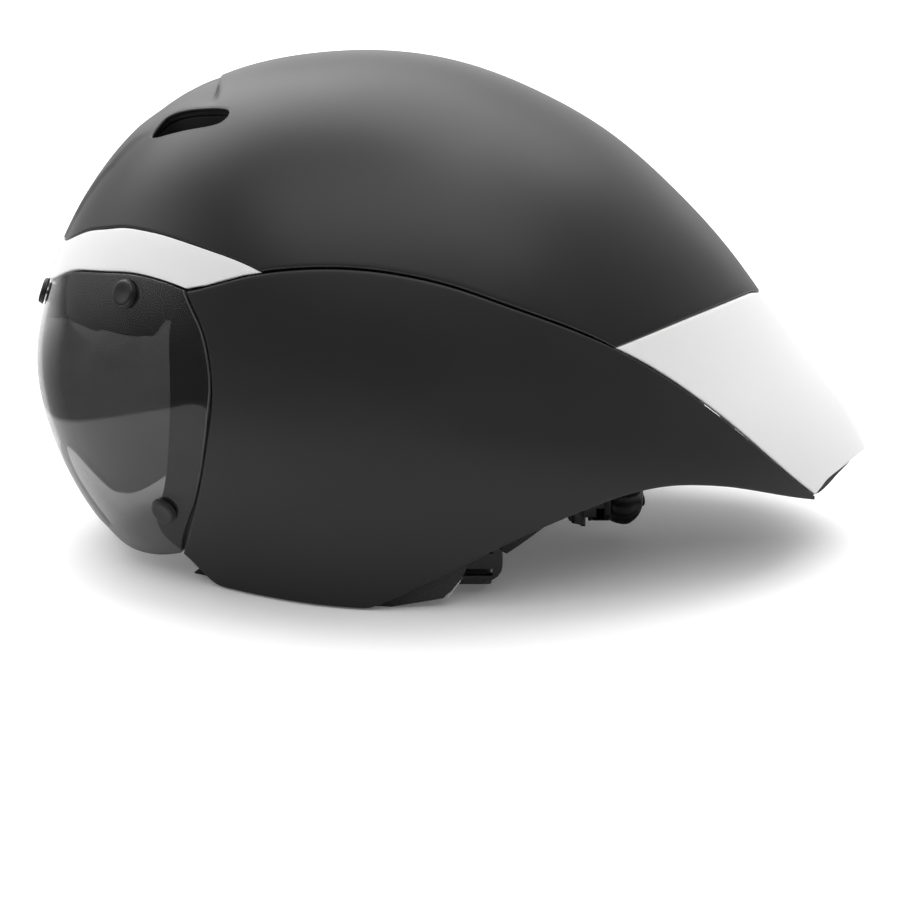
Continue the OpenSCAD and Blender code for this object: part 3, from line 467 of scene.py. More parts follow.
def lip_lines(count, first, last, radius):
    """Positions from 0 to 1 with LIP_STEPS quarter-circle lines at both ends and even lines between.
    first and last are the surface's millimetres per unit at the two ends."""
    turn = np.linspace(0, math.pi / 2, LIP_STEPS + 1)[:, None]
    away = radius * (1 - np.cos(turn))
    start, stop = away / first, 1 - away[::-1] / last
    middle = np.linspace(0, 1, count)[1:-1, None]
    inner = start[-1] + (stop[0] - start[-1]) * middle
    return np.concatenate([start, inner, stop]), np.minimum(
        np.concatenate([away[:, 0], np.full(count - 2, radius), away[::-1, 0]]), radius)


def surface_speed(place, u, v, du, dv, inset):
    """Millimetres on the hull per unit of a parameter, from a small step on either side."""
    low = hull(place(np.clip(u - du, 0, 1), np.clip(v - dv, 0, 1)), inset)
    high = hull(place(np.clip(u + du, 0, 1), np.clip(v + dv, 0, 1)), inset)
    step = (np.abs(np.clip(u + du, 0, 1) - np.clip(u - du, 0, 1))
            + np.abs(np.clip(v + dv, 0, 1) - np.clip(v - dv, 0, 1)))
    return np.maximum(np.linalg.norm(high - low, axis=-1) / step, 1.0)


def shell_grids(place, rows, columns, outer, inner, lip, raise_by=None):
    """Outer and inner grids of a shell and its edge mask. place turns u, v from 0 to 1 into angle and depth;
    outer and inner are the insets of the two faces."""
    even_u, even_v = np.linspace(0, 1, rows + 2 * LIP_STEPS), np.linspace(0, 1, columns + 2 * LIP_STEPS)
    zero_u, zero_v = np.zeros_like(even_v), np.zeros_like(even_u)
    u, away_u = lip_lines(rows, surface_speed(place, zero_u, even_v, 0.003, 0, outer)[None, :],
                          surface_speed(place, zero_u + 1, even_v, 0.003, 0, outer)[None, :], lip)
    v, away_v = lip_lines(columns, surface_speed(place, even_u, zero_v, 0, 0.003, outer)[None, :],
                          surface_speed(place, even_u, zero_v + 1, 0, 0.003, outer)[None, :], lip)
    v = v.T
    away = np.minimum(away_u[:, None], away_v[None, :])
    sink = lip - np.sqrt(np.maximum(lip**2 - (lip - away) ** 2, 0))
    at = place(u, v)
    top = outer + sink - (raise_by(hull(at)) if raise_by else 0)
    edge = np.clip(1 - away / lip, 0, 1)
    return hull(at, top), hull(at, np.full(u.shape, inner)), edge


def shell(name, place, rows, columns, outer, inner, lip, finish, body="helmet", raise_by=None):
    """A closed shell on the hull with a rounded outer rim."""
    face, back, edge = shell_grids(place, rows, columns, outer, inner, lip, raise_by)
    points, faces = wall_mesh(face, back)
    mask = np.concatenate([edge.ravel(), np.zeros(edge.size)])
    return new_piece(name, points, faces, finish, body, attributes={"edge": mask})


def over_ridge(top, bottom, start, end):
    """A place function for a patch that runs down both sides of the ridge: v 0 and 1 are its two sides."""
    def place(u, v):
        down = np.abs(2 * v - 1)
        return folded(coons(top, bottom, start, end, u, down), v)
    return place


print("quarter circle lines:", (1 - np.cos(np.linspace(0, math.pi / 2, LIP_STEPS + 1))).round(2))

# %% [markdown]
# ## The crown
# The dark top shell runs from the brow band to the white tail and stops at the seam over each side panel. A
# narrow strip rises from the brow between two creases that open towards the vents, and between the vents the
# shell dips until a low step ends the dip. All of it is a height added to the smooth hull, in plan view.

# %% Relief of the brow
STRIP = np.array([[-172, 3], [-160, 4], [-155, 5.5], [-150, 7], [-147, 8.5],
                  [-143, 11], [-139, 12], [-131, 12.4], [-124, 16]])
DIP_EDGE = np.array([[-128, 14.6], [-119, 15.5], [-108.6, 20.5], [-101.8, 25.5], [-97, 29.5]])
STRIP_HEIGHT, SWELL_HEIGHT = 0.8, 0.8
DIP_DEPTH = np.array([[-130, 0], [-119, 0.6], [-112, 1.1], [-105, 1.5], [-98.4, 2.1], [-97.2, 0]])


def smooth_step(value, low, high):
    """0 under low, 1 over high, and 3 t^2 - 2 t^3 between them."""
    t = np.clip((value - low) / (high - low), 0, 1)
    return t * t * (3 - 2 * t)


def relief(points):
    """Height of the strip and of a broad swelling over the brow, less the depth of the dip."""
    x, y = points[..., 0], np.abs(points[..., 1])
    edge = np.interp(x, *STRIP.T)
    strip = STRIP_HEIGHT * (1 - smooth_step(y, edge - 0.3, edge + 1.5)) * (1 - smooth_step(x, -134, -122))
    swelling = SWELL_HEIGHT * (1 - smooth_step(y, 0, 34)) * (1 - smooth_step(x, -168, -146))
    dip_edge = np.interp(x, *DIP_EDGE.T)
    dip = np.interp(x, *DIP_DEPTH.T) * (1 - smooth_step(y, dip_edge - 15, dip_edge - 2))
    return strip + swelling - dip


print("relief on the ridge:", relief(np.array([[-165.0, 0, 150], [-140, 0, 170], [-100, 0, 190]])).round(2))

# %% Crown shell
SHELL_LIP = 1.0
crown_front, crown_rear = brow_top_edge(PAINT_GAP), tail_front_edge(-PAINT_GAP)
crown_side = np.concatenate([
    crown_front[-1:],
    seam_part(SEAM_BROW * 0.9 + SEAM_TAIL * 0.1, SEAM_BROW * 0.1 + SEAM_TAIL * 0.9, SEAM_GAP / 2),
    crown_rear[-1:]])
crown_patch = over_ridge([crown_front[0], crown_rear[0]], crown_side, crown_front, crown_rear)


def crown_place(u, v):
    """The patch with its rows set closer together near the brow, where the relief is."""
    return crown_patch(0.4 * u + 0.6 * u**2, v)


crown = shell("crown", crown_place, 190, 161, 0.0, SKIN, SHELL_LIP, charcoal, raise_by=relief)
print("crown quads:", len(crown.data.polygons))

# %% [markdown]
# ## The front vents
# Two holes, full in front and narrower behind, let air in over the forehead. A hole in a closed shell is cut
# with a Boolean modifier, applied at once. A cut leaves a sharp edge, so a thin rounded bead of the same
# plastic follows the hole's outline just under the surface and gives it a moulded lip.

# %% Boolean cut
def apply_modifiers(piece):
    """Makes the result of a piece's modifiers its mesh."""
    bpy.context.view_layer.update()
    result = bpy.data.meshes.new_from_object(piece.evaluated_get(bpy.context.evaluated_depsgraph_get()))
    piece.modifiers.clear()
    piece.data = result


def carve(piece, *cutters):
    """Cuts closed meshes out of a piece and keeps the result as its mesh. The cutters are removed."""
    for cutter in cutters:
        cut = piece.modifiers.new("cut", "BOOLEAN")
        cut.object, cut.operation, cut.solver = cutter, "DIFFERENCE", "EXACT"
    apply_modifiers(piece)
    for cutter in cutters:
        bpy.data.objects.remove(cutter)
    piece.data.shade_smooth()
    piece.data.set_sharp_from_angle(angle=math.radians(SMOOTH_ANGLE))


def loose_mesh(name, points, faces):
    """A mesh object that only serves as a tool, with faces of any size."""
    mesh = bpy.data.meshes.new(name)
    mesh.from_pydata((np.asarray(points) * MM).tolist(), [], [list(map(int, f)) for f in faces])
    tool = bpy.data.objects.new(name, mesh)
    bpy.context.scene.collection.objects.link(tool)
    shape = bmesh.new()
    shape.from_mesh(mesh)
    bmesh.ops.recalc_face_normals(shape, faces=shape.faces)
    shape.to_mesh(mesh)
    shape.free()
    return tool


def drum(name, first, second):
    """A closed tool between two outlines of equal count."""
    count = len(first)
    ring = np.arange(count)
    after = np.roll(ring, -1)
    sides = np.stack([ring, after, after + count, ring + count], -1).tolist()
    return loose_mesh(name, np.concatenate([first, second]), sides + [ring[::-1].tolist(), (ring + count).tolist()])


def prism(name, outline, low, high):
    """A straight prism over an outline in plan, between two heights."""
    base, roof = (np.column_stack([outline, np.full(len(outline), z)]) for z in (low, high))
    return drum(name, base, roof)


print("tools ready")

# %% Vent outline and holes
VENT_LENGTH, VENT_WIDTH, VENT_TURN = 37.0, 13.0, math.radians(-26)
VENT_PLACE = np.array([-108.0, -26.0])
VENT_CLEARANCE = 0.5
VENT_SHARES = np.array([
    [-0.475, -0.12], [-0.44, 0.4], [-0.32, 0.545], [-0.095, 0.445], [0.13, 0.32], [0.35, 0.23], [0.49, 0.12],
    [0.53, -0.12], [0.465, -0.37], [0.31, -0.47], [0.08, -0.475], [-0.135, -0.445], [-0.35, -0.355]])
HEAD_LEVEL, DUCT_LOW, HULL_TOP, DUCT_WALL = 110.0, 170.0, 240.0, 1.4


def vent_outline(grow, steps=8):
    """A closed curve through shares of the vent's length and width, turned and moved to its place."""
    ring = VENT_SHARES[np.arange(-1, len(VENT_SHARES) + 2) % len(VENT_SHARES)]
    ring = ring * [VENT_LENGTH + 2 * grow, VENT_WIDTH + 2 * grow]
    t = 1 + np.arange(len(VENT_SHARES) * steps) / steps
    c, s = math.cos(VENT_TURN), math.sin(VENT_TURN)
    return curve(ring, t / (len(ring) - 1)) @ np.array([[c, s], [-s, c]]) + VENT_PLACE


def both(outline):
    return outline, outline * [1, -1]


def height_on_hull(plan, inset):
    """Height of the hull's upper side over a point in plan, halving a span of heights 40 times."""
    low, high = np.full(len(plan), HEAD_LEVEL), np.full(len(plan), HULL_TOP)
    for _ in range(40):
        middle = (low + high) / 2
        inside = half_width_at(np.stack([plan[:, 0], middle], -1), inset) > np.abs(plan[:, 1])
        low, high = np.where(inside, middle, low), np.where(inside, high, middle)
    return (low + high) / 2


carve(crown, *[prism("vent_cut", o, HEAD_LEVEL, HULL_TOP) for o in both(vent_outline(VENT_CLEARANCE))])
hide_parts("crown_shell")
print("vent rim heights:", height_on_hull(vent_outline(0), 0).min().round(1),
      height_on_hull(vent_outline(0), 0).max().round(1))

# %% [markdown]
# ## Rings and tubes
# Lips, piping and edging are tubes. A tube is a small circle carried along a path: at every point the path's
# direction and a steady side direction span the circle's plane. A closed path needs no ends, and an open one
# gets rounded ends by letting the radius fall to zero over its last steps.

# %% Tube along a path
def directions(path, closed):
    """Unit directions along a path, from the neighbours on both sides."""
    step = np.roll(path, -1, 0) - np.roll(path, 1, 0)
    if not closed:
        step[0], step[-1] = path[1] - path[0], path[-1] - path[-2]
    return step / np.linalg.norm(step, axis=1, keepdims=True)


def tube(path, radius, up, closed=False, sides=12):
    """Points and quads of a tube: centre + radius (cos a side + sin a up), round a path."""
    path = np.asarray(path, float)
    count = len(path)
    along = directions(path, closed)
    up = np.broadcast_to(np.asarray(up, float), path.shape)
    side = np.cross(along, up)
    side /= np.linalg.norm(side, axis=1, keepdims=True)
    rise = np.cross(side, along)
    turn = np.linspace(0, 2 * math.pi, sides, endpoint=False)
    radius = np.broadcast_to(radius, count)[:, None, None]
    ring = np.cos(turn)[None, :, None] * side[:, None] + np.sin(turn)[None, :, None] * rise[:, None]
    points = path[:, None] + radius * ring
    corner = np.arange(count * sides).reshape(count, sides)
    after = np.roll(corner, -1, 1)
    rows = slice(None) if closed else slice(None, -1)
    ahead = np.roll(corner, -1, 0)
    after_ahead = np.roll(after, -1, 0)
    quads = np.stack([corner[rows], ahead[rows], after_ahead[rows], after[rows]], -1).reshape(-1, 4)
    return points.reshape(-1, 3), quads


def round_ends(count, radius, steps=6):
    """A radius along an open path that falls to almost nothing over the first and last steps."""
    along = np.minimum(np.arange(count), np.arange(count)[::-1]) / steps
    return radius * np.sqrt(np.clip(1 - (1 - np.clip(along, 0, 1)) ** 2, 1e-4, 1))


BEAD_RADIUS, BEAD_GROW, BEAD_INSET = 0.8, 0.35, 0.75
for side, outline in zip(("left", "right"), both(vent_outline(BEAD_GROW))):
    rim_path = np.column_stack([outline, height_on_hull(outline, BEAD_INSET)])
    rim_path[:, 2] += relief(rim_path)
    rim_points, rim_quads = tube(rim_path, BEAD_RADIUS, (0, 0, 1), closed=True)
    # edge 0.5 paints the whole lip somewhat paler with the shell finish's painted rim highlight, for the lit band along
    # the vent's rim
    new_piece(f"vent_lip_{side}", rim_points, rim_quads, charcoal, smooth=60,
              attributes={"edge": np.full(len(rim_points), 0.5)})
print("vent lips made")

# %% [markdown]
# ## Brow band, tail and side panels
# The white brow band and the white tail are the same kind of shell as the crown. A side panel is drawn in side
# view instead, between the seam above and the arch below, and its lower edge is cut level where the helmet
# stands. Its rim is rounder than the others, and that rounding, together with the paler rim that its finish
# paints in as a highlight, is what shows as a thin light line along the seam.

# %% Brow band and tail
BAND_WALL, BAND_LIP = 2.5, 0.7
band_top, band_bottom = brow_top_edge(0), lens_top_edge(EDGE_GAP)
band_end = np.concatenate([band_top[-1:], seam_part(SEAM_BROW * 0.75, SEAM_BROW * 0.25, SEAM_GAP / 2),
                           band_bottom[-1:]])


def band_place(u, v):
    """u runs down the band and v runs from one side to the other, over the ridge at one half."""
    along = np.abs(2 * v - 1)
    return folded(coons(band_top, band_bottom, [band_top[0], band_bottom[0]], band_end, along, u), v)


brow_band = shell("brow_band_shell", band_place, 30, 151, 0.0, BAND_WALL, BAND_LIP, white_coat, raise_by=relief)
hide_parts("brow_band")
tail_front = tail_front_edge(0)
tail_side = np.concatenate([tail_front[-1:], seam_part(SEAM_TAIL * 0.85 + 0.15, 1, SEAM_GAP / 2)])
tail_end = np.array([[RIDGE_END, 1], [-12.3, 0.91], [-12.5, 0.81], [-13.7, 0.71], tail_side[-1]])
tail_place = over_ridge([tail_front[0], tail_end[0]], tail_side, tail_front, tail_end)
tail = shell("tail_shell", tail_place, 90, 101, 0.0, SKIN, SHELL_LIP, white_coat)
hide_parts("tail_fairing")
print("brow band and tail quads:", len(brow_band.data.polygons), len(tail.data.polygons))

# %% Side panels
PANEL_LIP = 1.3
steps = np.linspace(0, 1, 57)
panel_top = shifted(curve(SEAM, steps), 0, -SEAM_GAP / 2)
panel_low = curve(PANEL_BOTTOM, steps)
panel_low[:, 1] = np.maximum(panel_low[:, 1], 0)
panel_start = np.concatenate([panel_top[:1], PANEL_FRONT[1:]])
panel_start[-1] = panel_low[0]


def panel_place(u, v):
    return from_side(coons(panel_top, panel_low, panel_start, [panel_top[-1], panel_low[-1]], u, v))


def mirrored(place):
    return lambda u, v: opposite(place(u, v))


for side, place in (("left", panel_place), ("right", mirrored(panel_place))):
    panel = shell(f"panel_{side}", place, 190, 90, 0.0, PANEL_WALL, PANEL_LIP, side_charcoal)
    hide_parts(f"side_panel_{side}")
print("panel quads:", len(panel.data.polygons))

# %% [markdown]
# ## What carries the visor
# Behind the visor's rear edge the panels have a flange, and behind its top edge runs a black rail. Both follow
# the hull a few millimetres down. Pockets hold the steel discs that the visor's magnets hold on to.

# %% Flanges and rail with their pockets
MAGNET_RIDGE = 170.3
MAGNET_UPPER, MAGNET_LOWER = [-133.0, 129.0], [-119.0, 38.0]
SEAT_RADIUS, SEAT_DEPTH, SEAT_CLEARANCE = 5.0, 1.5, 0.15
FLANGE_LIP, RAIL_LIP, RAIL_SHARE = 0.8, 0.6, 0.92
upper, lower = from_side(MAGNET_UPPER), from_side(MAGNET_LOWER)
magnets = {"middle": np.array([MAGNET_RIDGE, 1.0]), "upper_left": upper, "upper_right": opposite(upper),
           "lower_left": lower, "lower_right": opposite(lower)}


def turned(profile, place, inset, count=48):
    """A profile of (radius, height) turned round the hull's normal at a place: a closed solid of revolution."""
    profile = np.asarray(profile, float)
    normal = hull_normal(place)
    side = np.cross(normal, [0, 1, 0] if abs(normal[1]) < 0.9 else [1, 0, 0])
    side /= np.linalg.norm(side)
    other = np.cross(normal, side)
    turn = np.linspace(0, 2 * math.pi, count, endpoint=False)
    ring = np.cos(turn)[:, None] * side + np.sin(turn)[:, None] * other
    points = hull(place, inset) + profile[:, 0, None, None] * ring + profile[:, 1, None, None] * normal
    return points.reshape(-1, 3), ring_quads(len(profile), count)


def pocket(place, inset, radius, depth, height=4.0):
    profile = [[1e-4, -depth], [radius, -depth], [radius, height], [1e-4, height]]
    return loose_mesh("pocket", *turned(profile, place, inset))


black_plastic = shell_finish("black_plastic", 24, 0.42, 52)
flange_edge = curve(FLANGE_FRONT, np.linspace(0, 1, 40))
flange_back = shifted(curve(PANEL_FRONT, np.linspace(0.12, 0.98, 40)), 9, 0)


def flange_place(u, v):
    edge, back = curve(flange_edge, u), curve(flange_back, u)
    return from_side(edge + (back - edge) * v[..., None])


for side, place in (("left", flange_place), ("right", mirrored(flange_place))):
    flange = shell(f"visor_flange_{side}", place, 80, 25, SEAT_INSET, SEAT_INSET + RAIL_WALL, FLANGE_LIP, black_plastic)
    carve(flange, pocket(magnets[f"lower_{side}"], SEAT_INSET, SEAT_RADIUS + SEAT_CLEARANCE, SEAT_DEPTH + FIT))
rail_top = lens_top_edge(EDGE_GAP + 2)
rail_low = from_ridge(np.concatenate([
    [[RIDGE_LENS + RAIL_DROP / FRONT_DEGREE, 1]],
    from_side(np.concatenate([shifted(LENS_TOP, 2, -RAIL_DROP), [[-114, 137.5 - RAIL_DROP]]]))]))


def rail_place(u, v):
    along = np.abs(2 * v - 1) * RAIL_SHARE
    top, low = curve(rail_top, along), curve(rail_low, along)
    return folded(top + (low - top) * u[..., None], v)


rail = shell("visor_rail", rail_place, 16, 121, SEAT_INSET, SEAT_INSET + RAIL_WALL, RAIL_LIP, black_plastic)
carve(rail, *[pocket(magnets[key], SEAT_INSET, SEAT_RADIUS + SEAT_CLEARANCE, SEAT_DEPTH + FIT)
              for key in ("middle", "upper_left", "upper_right")])
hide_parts("brow_rail")
print("flanges and rail made, magnet places:", len(magnets))

# %% [markdown]
# ## The smoke visor
# The visor is one thin clear part, tinted grey. Through it the black flange, the rail and the far side show
# darker, and its outer face mirrors the bright table. Real tinted plastic lets light straight through, so the
# finish mixes see-through with gloss by Alpha: a wall bends light too little to matter and needs no refraction.

# %% Visor finish
def visor_finish():
    """Dark grey gloss with an even tint and a paler, more opaque rim painted on as the highlight of the lens edge; fine
    polishing haze keeps the reflections from being perfect.
    """
    smoke = Finish("smoke_lens", IOR=1.5)
    haze = smoke.noise(60.0, 3.0).ramp(0.3, 0.7)
    ripple = smoke.noise(22.0, 1.0)
    rim = smoke.attribute("edge")
    smoke.set(
        # painted highlight: the rim is paler and more opaque, standing in for the light line that the bevelled lens
        # edge catches
        Base_Color=smoke.blend(rim, grey(38), grey(100)),
        Roughness=haze * 0.03 + 0.035,
        Alpha=rim * 0.15 + 0.64,
        Normal=smoke.bump(ripple, 0.00003, 0.3),
    )
    return smoke.material


smoke_lens = visor_finish()
print("visor finish:", smoke_lens.name)

# %% Visor lens
MAGNET_HOLE, LENS_LIP = 4.15, 0.5
lens_rear = shifted(PANEL_FRONT, -EDGE_GAP, 0)
lens_top_line = from_ridge(np.concatenate([
    [[RIDGE_LENS, 1]], from_side(np.concatenate([LENS_TOP, lens_rear[:1]]))]))
lens_low_line = from_ridge(np.concatenate([NOTCH, from_side(np.concatenate([LENS_BOTTOM, lens_rear[5:]]))]), 36)


def lens_place(u, v):
    """u runs down from the top edge and v runs from one rear edge to the other, over the ridge at one half."""
    along = np.abs(2 * v - 1)
    ridge_line = [lens_top_line[0], lens_low_line[0]]
    return folded(coons(lens_top_line, lens_low_line, ridge_line, from_side(lens_rear), along, u), v)


lens = shell("visor_lens_clear", lens_place, 90, 151, 0.0, LENS_WALL, LENS_LIP, smoke_lens, body="visor")
carve(lens, *[pocket(p, 0, MAGNET_HOLE, 10, 20) for p in magnets.values()])
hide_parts("visor_lens")
print("visor quads:", len(lens.data.polygons))

# %% [markdown]
# ## Magnet buttons and the rubber edging
# Five black caps hold the magnets. Each is turned on a lathe in thought: a profile of radius and height carried
# round the hull's normal, with a soft shoulder, a shallow dish on top and a fine step near its foot. The nose
# notch of the visor has a thin soft edging, which is a tube along the cut.

# %% Buttons and edging
rubber = shell_finish("black_rubber", 22, 0.36, 60)
BUTTON_RADIUS, BUTTON_HEIGHT = 6.0, 2.8
EDGED_SHARE = 0.62
cap_turn = np.linspace(0, math.pi / 2, 9)
cap_profile = np.concatenate([
    [[4.05, 0.3], [BUTTON_RADIUS - 0.5, 0.3], [BUTTON_RADIUS, 0.55], [BUTTON_RADIUS, 0.95],
     [BUTTON_RADIUS - 0.35, 1.15]],
    np.column_stack([BUTTON_RADIUS - 1.75 + 1.4 * np.cos(cap_turn),
                     1.6 + (BUTTON_HEIGHT - 1.6) * np.sin(cap_turn)]),
    [[3.2, BUTTON_HEIGHT - 0.12], [1.6, BUTTON_HEIGHT - 0.28], [1e-4, BUTTON_HEIGHT - 0.34],
     [1e-4, 2.0], [4.05, 2.0], [4.05, 0.3]]])
all_points, all_faces, start = [], [], 0
for place in magnets.values():
    points, faces = turned(cap_profile, place, 0)
    all_points.append(points)
    all_faces.append(faces + start)
    start += len(points)
caps = new_piece("magnet_caps", np.concatenate(all_points), np.concatenate(all_faces), rubber, "visor", smooth=50)
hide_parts("visor_buttons")
edging = Finish("smoke_edging", IOR=1.45, Specular_IOR_Level=0.4)
edging.set(
    Base_Color=edging.blend(edging.noise(90.0).ramp(0.3, 0.7), grey(40), grey(58)),
    Roughness=edging.noise(30.0) * 0.1 + 0.25,
    Alpha=0.62)
guard_edge = curve(from_ridge(np.concatenate([NOTCH, from_side(LENS_BOTTOM)]), 20), EDGED_SHARE * np.linspace(0, 1, 40))
guard_places = np.concatenate([guard_edge[:0:-1], opposite(guard_edge)])
guard_path = hull(guard_places, LENS_WALL / 2)
guard_points, guard_quads = tube(
    guard_path, round_ends(len(guard_path), 1.4), hull_normal(guard_places), sides=16)
guard = new_piece("nose_edging", guard_points, guard_quads, edging.material, "visor", smooth=60)
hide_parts("nose_guard")
print("caps and edging made")

# %% [markdown]
# ## Foam liner
# Under the shells sits one moulding of black expanded foam with the head space in it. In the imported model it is
# made of flat facets. Here the hull surface and a smooth dome are cut with Booleans in the same way, and a
# voxel remesh then rounds every edge a little, as steam-moulded beads leave it.

# %% Closed hull and head dome
FOAM_INSET = PANEL_WALL + FIT
FOAM_VOXEL = 0.0021
HEAD_LENGTH, HEAD_WIDTH, HEAD_DOME, HEAD_X = 204.0, 160.0, 78.0, -34.0
FOAM_SIDE = [[-190, 104], [-122, 112], [-111, 127], [-85, 127], [-81, 70],
             [60, 66], [100, 62], [100, 230], [-190, 230]]


def closed_hull(inset, around=120, across=60):
    """Rings from one ear to the other with a fan at each ear."""
    angle, depth = np.meshgrid(np.arange(around) * 360 / around, np.linspace(0, 2, across + 1)[1:-1])
    ring = hull(np.stack([angle, depth], -1), inset)
    ears = hull(np.array([[0.0, 0.0], [0.0, 2.0]]), inset)
    corner = np.arange(ring.shape[0] * around).reshape(-1, around)
    after = np.roll(corner, -1, 1)
    first, last = corner.size, corner.size + 1
    fans = ([[first, b, a] for a, b in zip(corner[0], after[0])]
            + [[last, a, b] for a, b in zip(corner[-1], after[-1])])
    return np.concatenate([ring.reshape(-1, 3), ears]), ring_quads(*corner.shape).tolist() + fans


def head_point(around, up, inset=0.0):
    """The head dome: an ellipsoid over straight walls, by the turn from the rear and the rise, in degrees."""
    a, b = np.radians(around), np.radians(up)
    return np.stack([HEAD_X + (HEAD_LENGTH / 2 - inset) * np.cos(a) * np.cos(b),
                     (HEAD_WIDTH / 2 - inset) * np.sin(a) * np.cos(b),
                     HEAD_LEVEL + (HEAD_DOME - inset) * np.sin(b)], -1)


def head_form(around=96):
    turn, rise = np.meshgrid(np.arange(around) * 360 / around, np.linspace(0, 88, 30))
    rings = head_point(turn, rise)
    low = rings[:1] * [1, 1, 0] + [0, 0, -20.0]
    points = np.concatenate([low, rings]).reshape(-1, 3)
    corner = np.arange(len(points)).reshape(-1, around)
    return points, ring_quads(*corner.shape).tolist() + [corner[0][::-1].tolist(), corner[-1].tolist()]


def side_prism(name, outline, reach):
    """A side-view outline drawn out to both sides."""
    outline = np.asarray(outline, float)
    near = np.column_stack([outline[:, 0], np.full(len(outline), -reach), outline[:, 1]])
    return drum(name, near, near * [1, -1, 1])


def block(name, low, high):
    """A box from its lowest to its highest corner."""
    low, high = np.array(low, float), np.array(high, float)
    return side_prism(name, [[low[0], low[2]], [high[0], low[2]], [high[0], high[2]], [low[0], high[2]]], high[1])


print("dome top:", head_point(np.array(0.0), np.array(90.0)).round(1))

# %% Foam finish and liner
def foam_finish():
    """Moulded bead foam: cells about 3 mm across with a fine line between them and a slight sheen."""
    foam = Finish("bead_foam", Specular_IOR_Level=0.3)
    cell = foam.add(
        "ShaderNodeTexVoronoi", {"feature": "DISTANCE_TO_EDGE"}, {"Vector": foam.place(), "Scale": 330.0})
    tone = foam.add(
        "ShaderNodeTexVoronoi", {"feature": "F1"}, {"Vector": foam.place(), "Scale": 330.0}, output="Color")
    shade = foam.add("ShaderNodeSeparateColor", {}, {"Color": tone}, output="Red")
    line = cell.ramp(0.0, 0.12)
    foam.set(
        Base_Color=foam.blend(line * 0.6 + shade * 0.4, grey(26), grey(46)),
        Roughness=shade * 0.12 + 0.62,
        Normal=foam.bump(line, 0.0002, 0.5),
    )
    return foam.material


bead_foam = foam_finish()
liner = loose_mesh("foam_liner_moulded", *closed_hull(FOAM_INSET))
keep = liner.modifiers.new("keep", "BOOLEAN")
span_tool = side_prism("foam_span", FOAM_SIDE, 150.0)
keep.object, keep.operation, keep.solver = span_tool, "INTERSECT", "EXACT"
apply_modifiers(liner)
bpy.data.objects.remove(span_tool)
EXHAUST = [[HEAD_X + HEAD_LENGTH / 2 - 20, -14.0, HEAD_LEVEL - 25],
           [HEAD_X + HEAD_LENGTH / 2 + 40, 14.0, HEAD_LEVEL - 9]]
carve(liner, loose_mesh("head_cut", *head_form()), block("exhaust_cut", *EXHAUST),
      *[prism("vent_well", o, HEAD_LEVEL, HULL_TOP) for o in both(vent_outline(DUCT_WALL + FIT))])
soften = liner.modifiers.new("soften", "REMESH")
soften.mode, soften.voxel_size, soften.use_smooth_shade = "VOXEL", FOAM_VOXEL, True
apply_modifiers(liner)
finished(liner, bead_foam, smooth=70)
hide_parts("foam_liner")
print("liner faces:", len(liner.data.polygons))

# %% [markdown]
# ## Ducts and the cover under the tail
# A short duct leads each vent's air through the foam. It is a ring of the same outline, level below and
# following the hull above. The cover under the tail is a slightly arched plate between the panels with three
# outlet slots.

# %% Vent ducts
def ring_band(rings):
    """Points and quads of a closed ring: several loops of equal count, joined one after the other and back."""
    rings = np.asarray(rings)
    corner = np.arange(rings.shape[0] * rings.shape[1]).reshape(rings.shape[:2])
    after, ahead = np.roll(corner, -1, 1), np.roll(corner, -1, 0)
    quads = np.stack([corner, after, np.roll(after, -1, 0), ahead], -1).reshape(-1, 4)
    return rings.reshape(-1, 3), quads


for side, inner, outer in zip(("left", "right"), both(vent_outline(0)), both(vent_outline(DUCT_WALL))):
    loops = [np.column_stack([plan, height]) for plan, height in (
        (inner, np.full(len(inner), DUCT_LOW)), (outer, np.full(len(outer), DUCT_LOW)),
        (outer, height_on_hull(outer, FOAM_INSET)), (inner, height_on_hull(inner, FOAM_INSET)))]
    duct = new_piece(f"duct_{side}", *ring_band(loops), black_plastic)
    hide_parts(f"vent_duct_{side}")
print("ducts made")

# %% Cover under the tail
COVER_LINE = [[100, 57], [113, 54], [131, 46.5], [144, 39.5], [156, 35.2], [168, 40], [177, 42]]
COVER_WALL, OUTLET_WIDTH = 2.5, 7.0
OUTLET_STARTS = [112 + i * (OUTLET_WIDTH + 5) for i in range(3)]


def cover_rows(down, count=70, across=31):
    s, k = np.linspace(0, 1, count), np.linspace(-1, 1, across)
    line = curve(COVER_LINE, s) - [0, down]
    inset = np.where(line[:, 0] < 158, PANEL_WALL, SKIN) + 3 * FIT
    width = half_width_at(line, inset)
    rise = 2 * (1 - s)[:, None] * (1 - k**2)[None, :]
    x = np.broadcast_to(line[:, 0, None], (count, across))
    return np.stack([x, width[:, None] * k, line[:, 1, None] + rise], -1)


cover = new_piece("tail_cover", *wall_mesh(cover_rows(0), cover_rows(COVER_WALL)), black_plastic)
carve(cover, *[block("outlet", [x, -18, 30], [x + OUTLET_WIDTH, 18, 70]) for x in OUTLET_STARTS])
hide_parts("tail_underside")
print("cover with", len(OUTLET_STARTS), "outlets")

# %% [markdown]
# ## Comfort pads
# The pads inside are soft foam between two layers of knitted cloth, welded together round the rim and along a
# few channels. Each starts as a thin closed form, a grid laid a little way off the surface that carries it,
# and is then blown up by a short cloth simulation: air pressure swells it, while the back, the welded rim and
# the channels are pinned. That gives the pull lines and full cushions of real pads. The simulation is stopped
# after 20 frames, no point may move further than a cap, and the result becomes the mesh.

